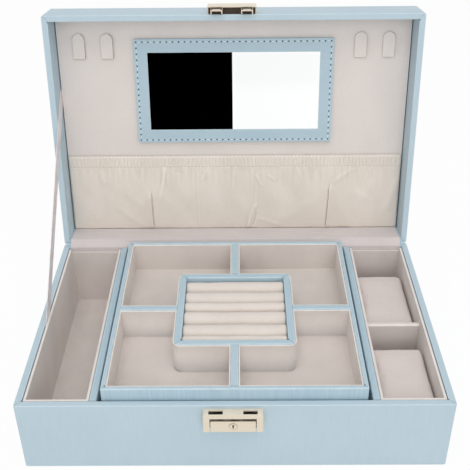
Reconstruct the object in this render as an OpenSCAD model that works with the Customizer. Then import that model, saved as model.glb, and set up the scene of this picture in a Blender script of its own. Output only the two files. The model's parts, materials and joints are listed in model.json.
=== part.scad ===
// Vanity and jewellery box with a mirror in its lid: leather over board, velvet inside,
// a lift-out tray, a watch compartment, a gathered pocket and a press-plate lock.
// Millimetres. The origin is the middle of the underside, +X to the right, +Y to the back, +Z up.
// The lid is drawn open, as it stands when its ribbon is tight.

/* [Box] */
// Width over the leather
box_w = 285; // [270:1:310]
// Depth over the leather
box_d = 187; // [180:1:200]
// Height of the base up to its rim
base_h = 57; // [55:1:64]
// Height of the lid
lid_h = 33; // [31:1:40]
// Angle at which the open lid stands
lid_angle = 98.3; // [95:0.1:105]
// Whole thickness of a covered wall
wall_t = 4.6; // [4.2:0.1:5.4]
// Leather on the outside
leather_t = 0.8; // [0.6:0.1:1]
// Leather turned over the rim to the inside
turn_t = 0.6; // [0.4:0.1:0.8]
// Radius of the upright outer corners
corner_r = 1.5; // [1:0.1:2.5]
// Radius of the leather's edges round the rims, the floor and the lid's top
edge_r = 0.6; // [0.3:0.1:0.9]
// Gap between the closed rims
rim_gap = 0.3; // [0.2:0.1:0.6]

/* [Base inside] */
// Floor board
floor_t = 2.2; // [1.8:0.1:3]
// Cover under the floor
cover_t = 0.6; // [0.4:0.1:1]
// Velvet-covered card of a compartment
liner_t = 1.6; // [1.2:0.1:2]
// Slot between wall and card for the ribbon and the hinge lining
tuck_gap = 0.6; // [0.5:0.1:1]
// Thickness of the two long dividers
divider_t = 5; // [4:0.1:6]
// Radius of the upper edges of the dividers
divider_r = 1.2; // [0.5:0.1:1.8]
// Clear width of the middle bay
bay_w = 179.2; // [178:0.2:182]
// Thickness of the divider between the watches
watch_divider_t = 3.8; // [3:0.1:5]
// Top of the watch divider above the underside
watch_divider_top = 50; // [46:0.5:52]
// Width of the ledge under the tray
ledge_t = 5.6; // [5:0.1:7]
// Width of the ledge at the back
ledge_back_t = 10; // [9:0.5:12]

/* [Tray] */
// Gap between the tray and a long divider
tray_side_gap = 3.1; // [2:0.1:4]
// Gap between the tray and the front of the bay
tray_front_gap = 0.6; // [0.4:0.1:1]
// Gap between the tray and the back of the bay
tray_back_gap = 5.4; // [4.8:0.1:8]
// Height of the tray
tray_h = 27.5; // [24:0.5:30]
// Height of the tray top above the rim of the base
tray_rise = 9; // [6:0.5:11]
// Thickness of the tray walls
tray_wall_t = 3; // [2.5:0.1:4]
// Thickness of the tray floor
tray_floor_t = 2; // [1.6:0.1:3]
// Width of the tray dividers
arm_t = 5.2; // [4:0.1:6]
// Radius of the upper edges of the tray walls, its dividers and the ring frame
trim_r = 0.9; // [0.4:0.1:1.2]
// Velvet lining of the tray compartments
lining_t = 1; // [0.8:0.1:1.4]
// Width of the ring frame
ring_w = 84; // [76:0.5:92]
// Depth of the ring frame
ring_d = 82.6; // [76:0.2:90]
// Wall of the ring frame
ring_wall_t = 5; // [4:0.1:6]
// Corner radius of the ring frame
ring_r = 5; // [3:0.5:8]
// Share of the bed that each ring roll takes, from front to back
roll_shares = [8, 14.5, 14.5, 9.5, 14, 12.5];
// Height of the foam under the rolls
bed_h = 9; // [6:0.5:11]
// Depth of the roll tops below the tray top
roll_drop = 1.2; // [0.6:0.1:3]

/* [Watch pillows] */
// Gap between a pillow and the left side of its compartment
pillow_left_gap = 0.2; // [0.1:0.1:1]
// Gap between a pillow and the right side of its compartment
pillow_right_gap = 1; // [0.2:0.1:3]
// Length of a pillow
pillow_l = 62; // [56:0.5:70]
// Height of a pillow
pillow_h = 40; // [34:0.5:42]
// How far the middle of its top stands above the edges
pillow_crown = 1.2; // [0.5:0.1:4]
// How far the sides draw in between the corners
pillow_pull = 0.5; // [0:0.1:1.5]
// Radius of the edges round the top
pillow_edge_r = 2.5; // [2:0.5:8]

/* [Lid inside] */
// Depth of the lining panel below the lid's rim
panel_depth = 22; // [20:0.5:24]
// Thickness of the lining panel
panel_t = 2; // [1.6:0.1:3]
// Width of the mirror frame
mirror_w = 155.6; // [140:0.2:170]
// Distance from the lid's front edge to the mirror frame
mirror_edge = 21.4; // [16:0.2:26]
// Distance from the mirror frame to the pocket
mirror_gap = 11.9; // [8:0.1:16]
// Leather border round the glass
mirror_border = 10.5; // [8:0.1:14]
// Thickness of the mirror frame
mirror_t = 3; // [2.6:0.1:4]
// Thickness of the glass
glass_t = 1.4; // [1:0.1:1.8]
// Distance from the hinge to the top edge of the pocket
pocket_top_s = 70.5; // [60:0.5:76]
// Fullness of the pocket in front of the panel
pocket_full = 2.2; // [1:0.1:3]
// Height of the pocket's elastic casing
casing_l = 10; // [8:0.5:14]
// Width of a necklace tab
tab_w = 9.4; // [8:0.1:12]
// Length of a necklace tab
tab_l = 19.4; // [16:0.2:24]
// Distance from the lid's front edge to the middle of the tabs
tab_edge = 27; // [21:0.5:33]
// Distance from the lid's side to the middle of the outer tab
tab_side = 22.3; // [18:0.1:24]
// Distance between the two tabs of a pair
tab_pitch = 21.8; // [14:0.2:24]

/* [Ribbon and hinge] */
// Width of the ribbon stay
ribbon_w = 10; // [6:0.5:12]
// Thickness of the ribbon
ribbon_t = 0.4; // [0.2:0.1:0.5]
// Distance from the hinge to where the ribbon leaves the base
ribbon_base_s = 97; // [80:1:110]
// Distance from the hinge to where the ribbon meets the lid
ribbon_lid_s = 121; // [100:1:140]
// Velvet over the hinge
velvet_t = 0.5; // [0.3:0.1:0.5]
// Reach of the leather hinge strip on each side of the hinge
strip_l = 8; // [6:0.5:12]

/* [Lock] */
// Place of the lock from the middle
lock_x = -1; // [-3:0.5:3]
// Width of the lock case
lock_w = 38.7; // [38.4:0.1:42]
// Height of the lock case
lock_h = 14.7; // [14.4:0.1:16]
// Distance from the rim down to the top of the lock case
lock_drop = 2.8; // [2.2:0.1:4]
// How far the lock case stands out
lock_out = 6.3; // [6.2:0.1:7]
// Sheet metal of the lock case
lock_sheet = 1; // [0.8:0.1:1.2]
// Distance between the two catches
catch_gap = 22.3; // [20:0.1:23]
// Width of a catch
catch_w = 8.6; // [7.4:0.1:9]
// Depth of a catch
catch_d = 2.8; // [2.6:0.1:3]
// Distance of a catch from the wall
catch_off = 1.8; // [1.7:0.1:2]
// Sheet metal of a catch
catch_sheet = 0.8; // [0.6:0.1:0.9]
// Width of the press plate
press_w = 29.2; // [28.6:0.1:29.6]
// Radius of the pivot pin
pin_r = 0.7; // [0.6:0.05:0.8]
// Radius of the key barrel
barrel_r = 2.5; // [2:0.1:2.6]

/* [Hasp] */
// Width of the hasp cover
hasp_w = 36.5; // [35.5:0.1:40]
// Height of the hasp cover
hasp_h = 14; // [13:0.5:18]
// How far the hasp cover stands out
hasp_out = 5.6; // [5.5:0.1:6.2]
// Distance from the lid's rim to the lower end of the hasp cover
hasp_drop = 1.5; // [1:0.1:3]
// Sheet metal of the hasp cover
hasp_sheet = 0.8; // [0.6:0.1:0.9]

/* [Hidden] */
$fn = 32;

blue_leather = [0.70, 0.79, 0.82];
blue_rim = [0.62, 0.72, 0.78];
grey_board = [0.62, 0.58, 0.52];
cream_velvet = [0.82, 0.78, 0.74];
grey_flock = [0.55, 0.52, 0.50];
cream_satin = [0.86, 0.82, 0.77];
grey_ribbon = [0.72, 0.66, 0.66];
pale_brass = [0.87, 0.82, 0.72];
dark_steel = [0.38, 0.34, 0.31];
eps = 0.01;
fit = 0.1;                                   // clearance between pieces that are put together
play = 0.4;                                  // clearance between pieces that move past each other

board_t = wall_t - leather_t - turn_t;
hinge_y = box_d / 2;
hinge_z = base_h;
floor_z = cover_t + floor_t;                 // top of the floor board
turn_in = 12;                                // leather turned down inside the base
inside_x = box_w / 2 - wall_t;               // inner faces of the covered walls
inside_y = box_d / 2 - wall_t;
card_x = inside_x - tuck_gap;                // outer faces of the cards
card_y = inside_y - tuck_gap;
card_top = base_h - 0.7;
card_back_drop = 2.8;                        // the cards stop short of the rim at the back
divider_top = base_h - 0.5;

tray_top = base_h + tray_rise;
tray_z = tray_top - tray_h;
tray_w = bay_w - 2 * tray_side_gap;
tray_front_y = -card_y + tray_front_gap;
tray_back_y = card_y - tray_back_gap;
tray_d = tray_back_y - tray_front_y;
tray_y = (tray_front_y + tray_back_y) / 2;
tray_in_z = tray_z + tray_floor_t;
ring_shift = 0.7;                            // the ring frame lies this much before the middle
arm_shift = 1.1;                             // and the side dividers this much
ring_y = tray_y - ring_shift;

lid_turn_in = panel_depth + panel_t;
lid_top_t = board_t;
lid_z = base_h;                              // the lid is drawn closed on this height, then opened
panel_z = lid_z + panel_depth;
padding_z = panel_z + panel_t;
lid_board_z = lid_z + lid_h - leather_t - lid_top_t;

front_y = -box_d / 2;                        // front face of the leather, closed lid and base alike
lock_top = base_h - lock_drop;
lock_z = lock_top - lock_h;                  // lower end of the case
press_drop = 4.2;                            // from the case's top to the press plate's
press_top = lock_top - press_drop;
press_gap = 1.2;                             // gap over the press plate
press_lower = lock_z + 0.2;
pin_z = lock_z + 1.7;
pin_out = 3;                                 // distance of the pivot pin from the wall
pin_end = 1.6;                               // metal beyond each end of the pivot pin
barrel_z = lock_z + 5.3;
mortise_d = 2.2;                             // pocket for the mechanism in the front wall
mortise_w = lock_w - 1.5;
mortise_z = lock_z + 1;
mortise_h = lock_h - 2.2;
back_plate_t = 1;
screw_x = lock_w / 2 - 2.05;
screw_z = lock_z + 3.9;
screw_r = 0.8;
screw_end = 1.6;                             // from the case's front to the bottom of a screw hole
screw_head_r = 1.7;
screw_head_t = 0.8;
slot_play = 0.3;
catch_front = catch_off + catch_d;           // outer face of a catch
catch_tip_z = lock_top - 6.7;
catch_bar = 1.5;                             // metal left under a catch's window
catch_window_h = 3;
catch_window_w = 5.2;
hook_w = 4;
hook_t = 1.5;
hook_z = catch_tip_z + catch_bar + play;
hook_grip = 0.6;                             // how far a hook reaches into its window
hook_plate_out = catch_off - play;           // front face of the plate that carries the hooks
hasp_z = lid_z + hasp_drop;
catch_root_z = hasp_z + 5.5;
rivet_x = 14;
rivet_z = hasp_z + 9.6;
rivet_r = 0.9;

// ---------- shared shapes ----------

// Block from one corner to the opposite one.
module block(low, high) {
    translate(low) cube(high - low);
}

// Rectangle with rounded corners, about the origin.
module rounded_square(w, d, r) {
    square([w - 2 * r, d], center = true);
    square([w, d - 2 * r], center = true);
    for (x = [-1, 1], y = [-1, 1]) translate([x * (w / 2 - r), y * (d / 2 - r)]) circle(r);
}

// What a rounding takes off an edge: the profile of the waste beyond a quarter circle.
module waste(r) {
    difference() {
        translate([-r, -r]) square(r + 1);
        translate([-r, -r]) circle(r, $fn = 16);
    }
}

// Waste along a straight edge that runs from the origin along +X, with the material at -Y and -Z.
module straight_waste(length, r) {
    rotate([90, 0, 90]) linear_extrude(length) waste(r);
}

// Waste round the outer top edge of a block with rounded corners, its top on z = 0.
module outer_waste(w, d, corner, r) {
    for (turn = [0, 90, 180, 270]) rotate(turn) {
        x = (turn % 180 == 0 ? w : d) / 2 - corner;
        y = (turn % 180 == 0 ? d : w) / 2;
        translate([-x - eps, y, 0]) straight_waste(2 * x + 2 * eps, r);
        translate([x, y - corner, 0]) rotate_extrude(angle = 90) translate([corner, 0]) waste(r);
    }
}

// Waste round the top edge of a rectangular opening, its top on z = 0.
module mouth_waste(w, d, r) {
    for (turn = [0, 90, 180, 270]) rotate(turn) {
        x = (turn % 180 == 0 ? w : d) / 2 + r;
        y = (turn % 180 == 0 ? d : w) / 2;
        translate([-x, y, 0]) mirror([0, 1, 0]) straight_waste(2 * x, r);
    }
}

// Board that stands on edge along the depth, with its two upper edges rounded.
module soft_board(low, high, r) {
    difference() {
        block(low, high);
        for (side = [0, 1]) translate([side > 0 ? high[0] : low[0], low[1] - 1, high[2]])
            mirror([1 - side, 0, 0]) rotate(90) mirror([0, 1, 0]) straight_waste(high[1] - low[1] + 2, r);
    }
}

// Profile in the plane across the hinge, drawn as [y, z] and run along the width.
module across(x0, x1) {
    translate([x0, 0, 0]) rotate([90, 0, 90]) linear_extrude(x1 - x0) children();
}

// Band of one thickness along a path of points, with round joints.
module band(path, t) {
    for (i = [0 : len(path) - 2]) {
        step = path[i + 1] - path[i];
        translate(path[i]) rotate(atan2(step[1], step[0])) translate([0, -t / 2]) square([norm(step), t]);
        if (i > 0) translate(path[i]) circle(t / 2);
    }
}

// Where a point of the closed lid, as [y, z], goes when the lid stands open.
function opened(p) = [
    hinge_y + (p[0] - hinge_y) * cos(lid_angle) + (p[1] - hinge_z) * sin(lid_angle),
    hinge_z - (p[0] - hinge_y) * sin(lid_angle) + (p[1] - hinge_z) * cos(lid_angle)
];

// Opens what is drawn closed.
module open_lid() {
    translate([0, hinge_y, hinge_z]) rotate([-lid_angle, 0, 0]) translate([0, -hinge_y, -hinge_z])
        children();
}

// Places what is drawn with x across, y out of the front wall and z up onto the front wall.
module on_front() {
    translate([lock_x, front_y, 0]) mirror([0, 1, 0]) children();
}

// Rod out of the front wall.
module rod_out(x, z, from, to, r) {
    translate([x, from, z]) rotate([-90, 0, 0]) cylinder(h = to - from, r = r);
}

// Leather drawn over the outside of a ring of walls, over the rim and down inside it.
module leather_cover(z_low, z_rim, inside) {
    rim_down = z_rim > z_low ? 1 : -1;
    low = min(z_low, z_rim);
    high = max(z_low, z_rim);
    turn_low = rim_down > 0 ? z_rim - inside : low - 1;
    turn_high = rim_down > 0 ? high + 1 : z_rim + inside;
    slot_low = rim_down > 0 ? z_rim - inside - eps : low + leather_t;
    slot_high = rim_down > 0 ? z_rim - leather_t : z_rim + inside + eps;
    difference() {
        translate([0, 0, low]) linear_extrude(high - low) rounded_square(box_w, box_d, corner_r);
        // open inside, between the turned-in faces
        block([-inside_x, -inside_y, turn_low - 2 * eps], [inside_x, inside_y, turn_high + 2 * eps]);
        // room for the boards beyond the turned-in leather
        block(
            [-box_w / 2 + leather_t, -box_d / 2 + leather_t, rim_down > 0 ? low - 1 : z_rim + inside],
            [box_w / 2 - leather_t, box_d / 2 - leather_t, rim_down > 0 ? z_rim - inside : high - leather_t]
        );
        // slot for the boards behind the turned-in leather
        difference() {
            block([-box_w / 2 + leather_t, -box_d / 2 + leather_t, slot_low],
                  [box_w / 2 - leather_t, box_d / 2 - leather_t, slot_high]);
            block([-inside_x - turn_t, -inside_y - turn_t, slot_low - 1],
                  [inside_x + turn_t, inside_y + turn_t, slot_high + 1]);
        }
        // soft edges round the rim, inside and outside, and round the other end
        translate([0, 0, z_rim]) mirror([0, 0, rim_down > 0 ? 0 : 1]) {
            outer_waste(box_w, box_d, corner_r, edge_r);
            mouth_waste(2 * inside_x, 2 * inside_y, min(edge_r, turn_t));
        }
        translate([0, 0, z_low]) mirror([0, 0, rim_down > 0 ? 1 : 0])
            outer_waste(box_w, box_d, corner_r, edge_r);
    }
}

// ---------- base ----------

board_x = box_w / 2 - leather_t;             // outer faces of the boards
board_y = box_d / 2 - leather_t;
board_in_x = board_x - board_t;
board_in_y = board_y - board_t;
board_top = base_h - leather_t;

module floor_board() {
    color(grey_board) block([-board_x, -board_y, cover_t], [board_x, board_y, floor_z]);
}

// Pocket for the mechanism and holes for the two screws, through the front wall.
module lock_seat() {
    on_front() {
        block([-mortise_w / 2, -mortise_d, mortise_z], [mortise_w / 2, 1, mortise_z + mortise_h]);
        for (side = [-1, 1]) {
            rod_out(side * screw_x, screw_z, -wall_t - 1, 1, screw_r + fit);
            rod_out(side * screw_x, screw_z, -wall_t - 1, -wall_t + screw_head_t, screw_head_r + fit);
        }
    }
}

module front_board() {
    color(grey_board) difference() {
        block([-board_x, -board_y, floor_z], [board_x, -board_in_y, board_top]);
        lock_seat();
    }
}

module back_board() {
    color(grey_board) block([-board_x, board_in_y, floor_z], [board_x, board_y, board_top]);
}

module side_board(side) {
    color(grey_board) mirror([side > 0 ? 0 : 1, 0, 0])
        block([board_in_x, -board_in_y, floor_z], [board_x, board_in_y, board_top]);
}
module left_board() { side_board(-1); }
module right_board() { side_board(1); }

module base_leather() {
    color(blue_leather) difference() {
        leather_cover(cover_t, base_h, turn_in);
        lock_seat();
        // the hinge strip takes the leather's place along the back rim
        block([-box_w / 2 + corner_r, board_y, base_h - strip_l],
              [box_w / 2 - corner_r, box_d / 2 + 1, base_h + 1]);
    }
}

cover_inset = 1;
module bottom_cover() {
    color(grey_flock) linear_extrude(cover_t)
        rounded_square(box_w - 2 * cover_inset, box_d - 2 * cover_inset, corner_r);
}

// Velvet-covered card box, open at the top, with its back wall a little lower than the others.
module card_box(x0, x1) {
    difference() {
        block([x0, -card_y, floor_z], [x1, card_y, card_top]);
        block([x0 + liner_t, -card_y + liner_t, floor_z + liner_t], [x1 - liner_t, card_y - liner_t, base_h]);
        block([x0 - 1, card_y - liner_t - eps, card_top - card_back_drop], [x1 + 1, card_y + 1, base_h]);
    }
}

divider_in = bay_w / 2;
divider_out = divider_in + divider_t;
module left_liner() { color(cream_velvet) card_box(-card_x, -divider_out - fit); }
module right_liner() { color(cream_velvet) card_box(divider_out + fit, card_x); }

// Velvet-covered boards round the bay: their top edges are the ledge that carries the tray.
module bay_liner() {
    color(cream_velvet) difference() {
        block([-divider_in + fit, -card_y, floor_z], [divider_in - fit, card_y, tray_z]);
        block([-divider_in + fit + ledge_t, -card_y + ledge_t, floor_z + liner_t],
              [divider_in - fit - ledge_t, card_y - ledge_back_t, tray_z + 1]);
    }
}

module long_divider(side) {
    color(blue_rim) mirror([side > 0 ? 0 : 1, 0, 0])
        soft_board([divider_in, -card_y, floor_z], [divider_out, card_y, divider_top], divider_r);
}
module left_divider() { long_divider(-1); }
module right_divider() { long_divider(1); }

watch_y = tray_y - arm_shift;
// Divider between the watches, in line with the tray's side dividers.
module watch_divider() {
    color(cream_velvet) rotate(-90) soft_board(
        [-watch_y - watch_divider_t / 2, divider_out + fit + liner_t + fit, floor_z + liner_t],
        [-watch_y + watch_divider_t / 2, card_x - liner_t - fit, watch_divider_top], divider_r);
}

// ---------- lock ----------

press_inner = lock_out - lock_sheet;         // back of the front sheet of case and press plate
press_side_gap = 0.5;                        // gap beside the press plate
slot_w = catch_w + 2 * slot_play;
cheek_gap = 0.2;                             // from the window's side to the solid cheek behind it
case_side = press_w / 2 + press_side_gap + cheek_gap;
case_upper = lock_w / 2 - lock_sheet;

// Case: closed sides and top, cheeks for the pin and screws, an opening for the press plate.
module lock_case() {
    color(pale_brass) on_front() difference() {
        translate([0, 0, lock_z]) intersection() {
            block([-lock_w / 2, 0, 0], [lock_w / 2, lock_out, lock_h]);
            translate([0, lock_out / 2, lock_h / 2]) rotate([90, 0, 0])
                translate([0, 0, -lock_out]) linear_extrude(2 * lock_out) rounded_square(lock_w, lock_h, 1);
        }
        block([-case_side, -1, lock_z - 1], [case_side, press_inner, lock_top - lock_sheet]);
        block([-case_upper, -1, catch_tip_z - play], [case_upper, press_inner, lock_top - lock_sheet]);
        // window for the press plate, open at the bottom
        block([-press_w / 2 - press_side_gap, press_inner - 1, lock_z - 1],
              [press_w / 2 + press_side_gap, lock_out + 1, press_top + press_gap]);
        // slots for the two catches
        for (side = [-1, 1])
            block([side * catch_gap / 2 - slot_w / 2, catch_off - 0.2, lock_top - lock_sheet - 1],
                  [side * catch_gap / 2 + slot_w / 2, catch_front + play, lock_top + 1]);
        // bores for the pivot pin and the screws
        translate([-lock_w / 2 + pin_end, pin_out, pin_z]) rotate([0, 90, 0])
            cylinder(h = lock_w - 2 * pin_end, r = pin_r);
        for (side = [-1, 1]) rod_out(side * screw_x, screw_z, -1, lock_out - screw_end, screw_r);
    }
}

stop_w = 4;
stop_h = 1.6;
stop_z = barrel_z + 2.4;
cam_out = 1.8;                               // back of the barrel's cam, from the wall
cam_t = 0.8;
// Back plate in its pocket, with the stop that blocks the turned cam.
module lock_back_plate() {
    stop_gap = 0.2;
    color(dark_steel) on_front() {
        difference() {
            block([-mortise_w / 2 + fit, -mortise_d, mortise_z + fit],
                  [mortise_w / 2 - fit, -mortise_d + back_plate_t, mortise_z + mortise_h - fit]);
            for (side = [-1, 1]) rod_out(side * screw_x, screw_z, -mortise_d - 1, 0, screw_r + fit);
        }
        block([-stop_w / 2, -mortise_d + back_plate_t - eps, stop_z],
              [stop_w / 2, cam_out - stop_gap, stop_z + stop_h]);
    }
}

module lock_screws() {
    color(pale_brass) on_front() for (side = [-1, 1]) {
        rod_out(side * screw_x, screw_z, -wall_t, lock_out - screw_end - fit, screw_r);
        rod_out(side * screw_x, screw_z, -wall_t, -wall_t + screw_head_t, screw_head_r);
    }
}

spring_t = 0.3;
spring_w = 3;
spring_x = 9.5;
// Two leaf springs on one foot: they push the press plate out.
module lock_spring() {
    foot_z = mortise_z + 1.4;
    foot_h = 1.6;
    bend_z = foot_z + 3;
    tip_z = foot_z + 6.5;
    back = -mortise_d + back_plate_t + spring_t / 2;
    color(dark_steel) on_front() {
        block([-spring_x - spring_w / 2, back - spring_t / 2, foot_z],
              [spring_x + spring_w / 2, back + spring_t / 2, foot_z + foot_h]);
        for (side = [-1, 1]) translate([side * spring_x - spring_w / 2, 0, 0])
            rotate([90, 0, 90]) linear_extrude(spring_w)
                band([[back, foot_z + foot_h / 2], [back, bend_z], [0, tip_z]], spring_t);
    }
}

module lock_pivot_pin() {
    color(dark_steel) on_front() translate([-lock_w / 2 + pin_end, pin_out, pin_z]) rotate([0, 90, 0])
        cylinder(h = lock_w - 2 * pin_end, r = pin_r);
}

flange_t = 0.8;
flange_x = press_w / 2 - 0.4;                // outer faces of the press plate's flanges
flange_top = catch_tip_z - play;
hook_plate_t = 0.8;
hook_plate_low = pin_z + 1.6;                // clear of the pivot pin
running = 0.06;                              // clearance on a pin
// Press plate: a pressed sheet with two flanges that turn on the pin.
module press_plate() {
    color(pale_brass) on_front() difference() {
        union() {
            translate([0, lock_out, (press_top + press_lower) / 2]) rotate([90, 0, 0])
                linear_extrude(lock_sheet) rounded_square(press_w, press_top - press_lower, 0.8);
            for (side = [-1, 1]) mirror([side > 0 ? 0 : 1, 0, 0])
                block([flange_x - flange_t, hook_plate_out - hook_plate_t, press_lower + fit],
                      [flange_x, press_inner + eps, flange_top]);
        }
        translate([-lock_w / 2, pin_out, pin_z]) rotate([0, 90, 0])
            cylinder(h = lock_w, r = pin_r + running);
        rod_out(0, barrel_z, 0, lock_out + 1, barrel_r + running);
    }
}

// Steel plate behind the press plate, with the two hooks that catch in the windows.
module press_hooks() {
    inner = 6.4;                             // clear of the barrel's cam
    color(dark_steel) on_front() for (side = [-1, 1]) mirror([side > 0 ? 0 : 1, 0, 0]) {
        block([inner, hook_plate_out - hook_plate_t, hook_plate_low],
              [flange_x - flange_t, hook_plate_out, hook_z + hook_t]);
        block([catch_gap / 2 - hook_w / 2, hook_plate_out - eps, hook_z],
              [catch_gap / 2 + hook_w / 2, catch_front - catch_sheet + hook_grip, hook_z + hook_t]);
    }
}

// Key barrel with its keyhole, a collar behind the plate and a cam on its inner end.
module key_barrel() {
    cam_l = 3.9;                             // from the barrel's middle to the cam's end
    cam_w = 2.2;
    cam_r = 2;
    collar_r = barrel_r + 0.6;
    collar_t = 0.65;
    collar_gap = 0.05;
    proud = 0.3;                             // how far the barrel stands out of the press plate
    hole_z = barrel_z + 0.7;                 // middle of the keyhole's round end
    hole_r = 0.8;
    hole_in = lock_out - 2.4;                // bottom of the keyhole
    slit_w = 0.7;
    slit_l = 2.4;
    post_r = 0.3;                            // the post that a hollow key slides over
    color(pale_brass) on_front() difference() {
        union() {
            rod_out(0, barrel_z, cam_out + cam_t - eps, lock_out + proud, barrel_r);
            rod_out(0, barrel_z, press_inner - collar_gap - collar_t, press_inner - collar_gap, collar_r);
            rod_out(0, barrel_z, cam_out, cam_out + cam_t, cam_r);
            translate([0, cam_out, barrel_z - cam_w / 2]) cube([cam_l, cam_t, cam_w]);
        }
        difference() {
            union() {
                rod_out(0, hole_z, hole_in, lock_out + 1, hole_r);
                block([-slit_w / 2, hole_in, hole_z - slit_l], [slit_w / 2, lock_out + 1, hole_z]);
            }
            rod_out(0, hole_z, hole_in - 1, lock_out + fit, post_r);
        }
    }
}

// ---------- ribbon and hinge ----------

ribbon_gap = (tuck_gap - ribbon_t) / 2;
ribbon_base = [hinge_y - ribbon_base_s, base_h - 1];
ribbon_lid = opened([hinge_y - ribbon_lid_s, panel_z]);
ribbon_way = (ribbon_lid - ribbon_base) / norm(ribbon_lid - ribbon_base);
ribbon_tuck = 9;                             // length hidden at each end
// Ribbon in the slot beside the card, up to the slot beside the lining panel.
module stay_ribbon() {
    color(grey_ribbon) across(-inside_x + ribbon_gap, -inside_x + ribbon_gap + ribbon_t)
        band([ribbon_base - ribbon_way * ribbon_tuck, ribbon_lid + ribbon_way * (panel_t + 1)], ribbon_w);
}
echo(ribbon_length = norm(ribbon_lid - ribbon_base) + ribbon_tuck + panel_t + 1);

// Leather strip that is the hinge: a leg on each back board and a fold between them.
module hinge_strip() {
    mid = box_d / 2 - leather_t / 2;
    half = box_w / 2 - corner_r - fit;
    color(blue_leather) across(-half, half) {
        band([[mid, base_h - strip_l + fit], [mid, base_h]], leather_t);
        band([opened([mid, base_h]), opened([mid, base_h + strip_l - fit])], leather_t);
        translate([hinge_y, hinge_z]) circle(leather_t);
    }
}

// Velvet from behind the cards, over the back rim and up the lid's back wall to the panel.
module hinge_lining() {
    mid = inside_y - velvet_t / 2;
    half = inside_x - 1;
    base_turn = [mid, base_h + 2 * fit];     // where it leaves the base
    lid_turn = opened([mid - fit, base_h - fit]);
    color(cream_velvet) across(-half, half) band([
        [mid, base_h - turn_in], base_turn, lid_turn, opened([mid, panel_z - fit])
    ], velvet_t);
}

// ---------- lid, drawn closed and then opened ----------

lid_low = lid_z + rim_gap;
lid_board_low = lid_low + leather_t;

module lid_top_board() {
    color(grey_board) open_lid()
        block([-board_x, -board_y, lid_board_z], [board_x, board_y, lid_z + lid_h - leather_t]);
}

// Holes for the hasp's rivets through the front wall of the lid.
module rivet_holes() {
    on_front() for (side = [-1, 1]) rod_out(side * rivet_x, rivet_z, -wall_t - 1, 1, rivet_r);
}

module lid_front_board() {
    color(grey_board) open_lid() difference() {
        block([-board_x, -board_y, lid_board_low], [board_x, -board_in_y, lid_board_z]);
        rivet_holes();
    }
}

module lid_back_board() {
    color(grey_board) open_lid()
        block([-board_x, board_in_y, lid_board_low], [board_x, board_y, lid_board_z]);
}

module lid_side_board(side) {
    color(grey_board) open_lid() mirror([side > 0 ? 0 : 1, 0, 0])
        block([board_in_x, -board_in_y, lid_board_low], [board_x, board_in_y, lid_board_z]);
}
module lid_left_board() { lid_side_board(-1); }
module lid_right_board() { lid_side_board(1); }

module lid_leather() {
    color(blue_leather) open_lid() difference() {
        leather_cover(lid_z + lid_h, lid_low, lid_turn_in);
        rivet_holes();
        block([-box_w / 2 + corner_r, board_y, lid_z - 1],
              [box_w / 2 - corner_r, box_d / 2 + 1, lid_z + strip_l]);
    }
}

module lid_padding() {
    color(cream_satin) open_lid()
        block([-card_x, -card_y, padding_z], [card_x, card_y, lid_board_z]);
}

module lid_panel() {
    color(cream_velvet) open_lid()
        block([-card_x, -card_y, panel_z], [card_x, card_y, padding_z]);
}

mirror_l = box_d - mirror_edge - mirror_gap - pocket_top_s;
mirror_y = front_y + mirror_edge + mirror_l / 2;
frame_lip = 0.8;                             // leather and board in front of the glass
backing_t = mirror_t - frame_lip - glass_t;
rebate = 4.4;                                // glass hidden behind the border
glass_w = mirror_w - 2 * mirror_border + 2 * rebate;
glass_l = mirror_l - 2 * mirror_border + 2 * rebate;

// Frame wrapped in leather, with a window and a rebate behind it for the glass.
module mirror_frame() {
    color(blue_rim) open_lid() translate([0, mirror_y, panel_z - mirror_t]) difference() {
        linear_extrude(mirror_t) rounded_square(mirror_w, mirror_l, 1);
        translate([0, 0, mirror_t / 2])
            cube([mirror_w - 2 * mirror_border, mirror_l - 2 * mirror_border, 2 * mirror_t], center = true);
        translate([-glass_w / 2 - fit, -glass_l / 2 - fit, frame_lip])
            cube([glass_w + 2 * fit, glass_l + 2 * fit, mirror_t]);
    }
}

module mirror_glass() {
    color([0.85, 0.87, 0.88]) open_lid()
        translate([-glass_w / 2, mirror_y - glass_l / 2, panel_z - mirror_t + frame_lip])
            cube([glass_w, glass_l, glass_t]);
}

module mirror_backing() {
    color(grey_board) open_lid()
        translate([-glass_w / 2, mirror_y - glass_l / 2, panel_z - backing_t])
            cube([glass_w, glass_l, backing_t]);
}

tab_t = 2.2;
tab_clear = 1.2;                             // room behind a tab for a chain
tab_foot = 4;                                // length of a tab that is sewn down
tab_x = [for (side = [-1, 1], i = [0, 1]) side * (box_w / 2 - tab_side - i * tab_pitch)];
// Padded tongues: sewn down at their lower end, round and free at the upper one.
module necklace_tabs() {
    color(cream_velvet) open_lid() for (x = tab_x) translate([x, front_y + tab_edge, panel_z]) {
        translate([0, 0, -tab_clear - tab_t]) linear_extrude(tab_t) {
            translate([0, -tab_l / 2 + tab_w / 2]) circle(d = tab_w);
            translate([-tab_w / 2, -tab_l / 2 + tab_w / 2]) square([tab_w, tab_l - tab_w / 2]);
        }
        translate([-tab_w / 2, tab_l / 2 - tab_foot, -tab_clear]) cube([tab_w, tab_foot, tab_clear]);
    }
}

// ---------- gathered pocket ----------

pocket_inset = 1.3;                          // from the panel's edge to the pocket's
pocket_w = 2 * (card_x - pocket_inset);
pocket_low_s = wall_t + tuck_gap + play;
cloth_t = 0.8;
elastic_t = 0.6;
folds_across = 64;                           // steps across the pocket
folds_up = 8;                                // steps up the pocket

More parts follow.
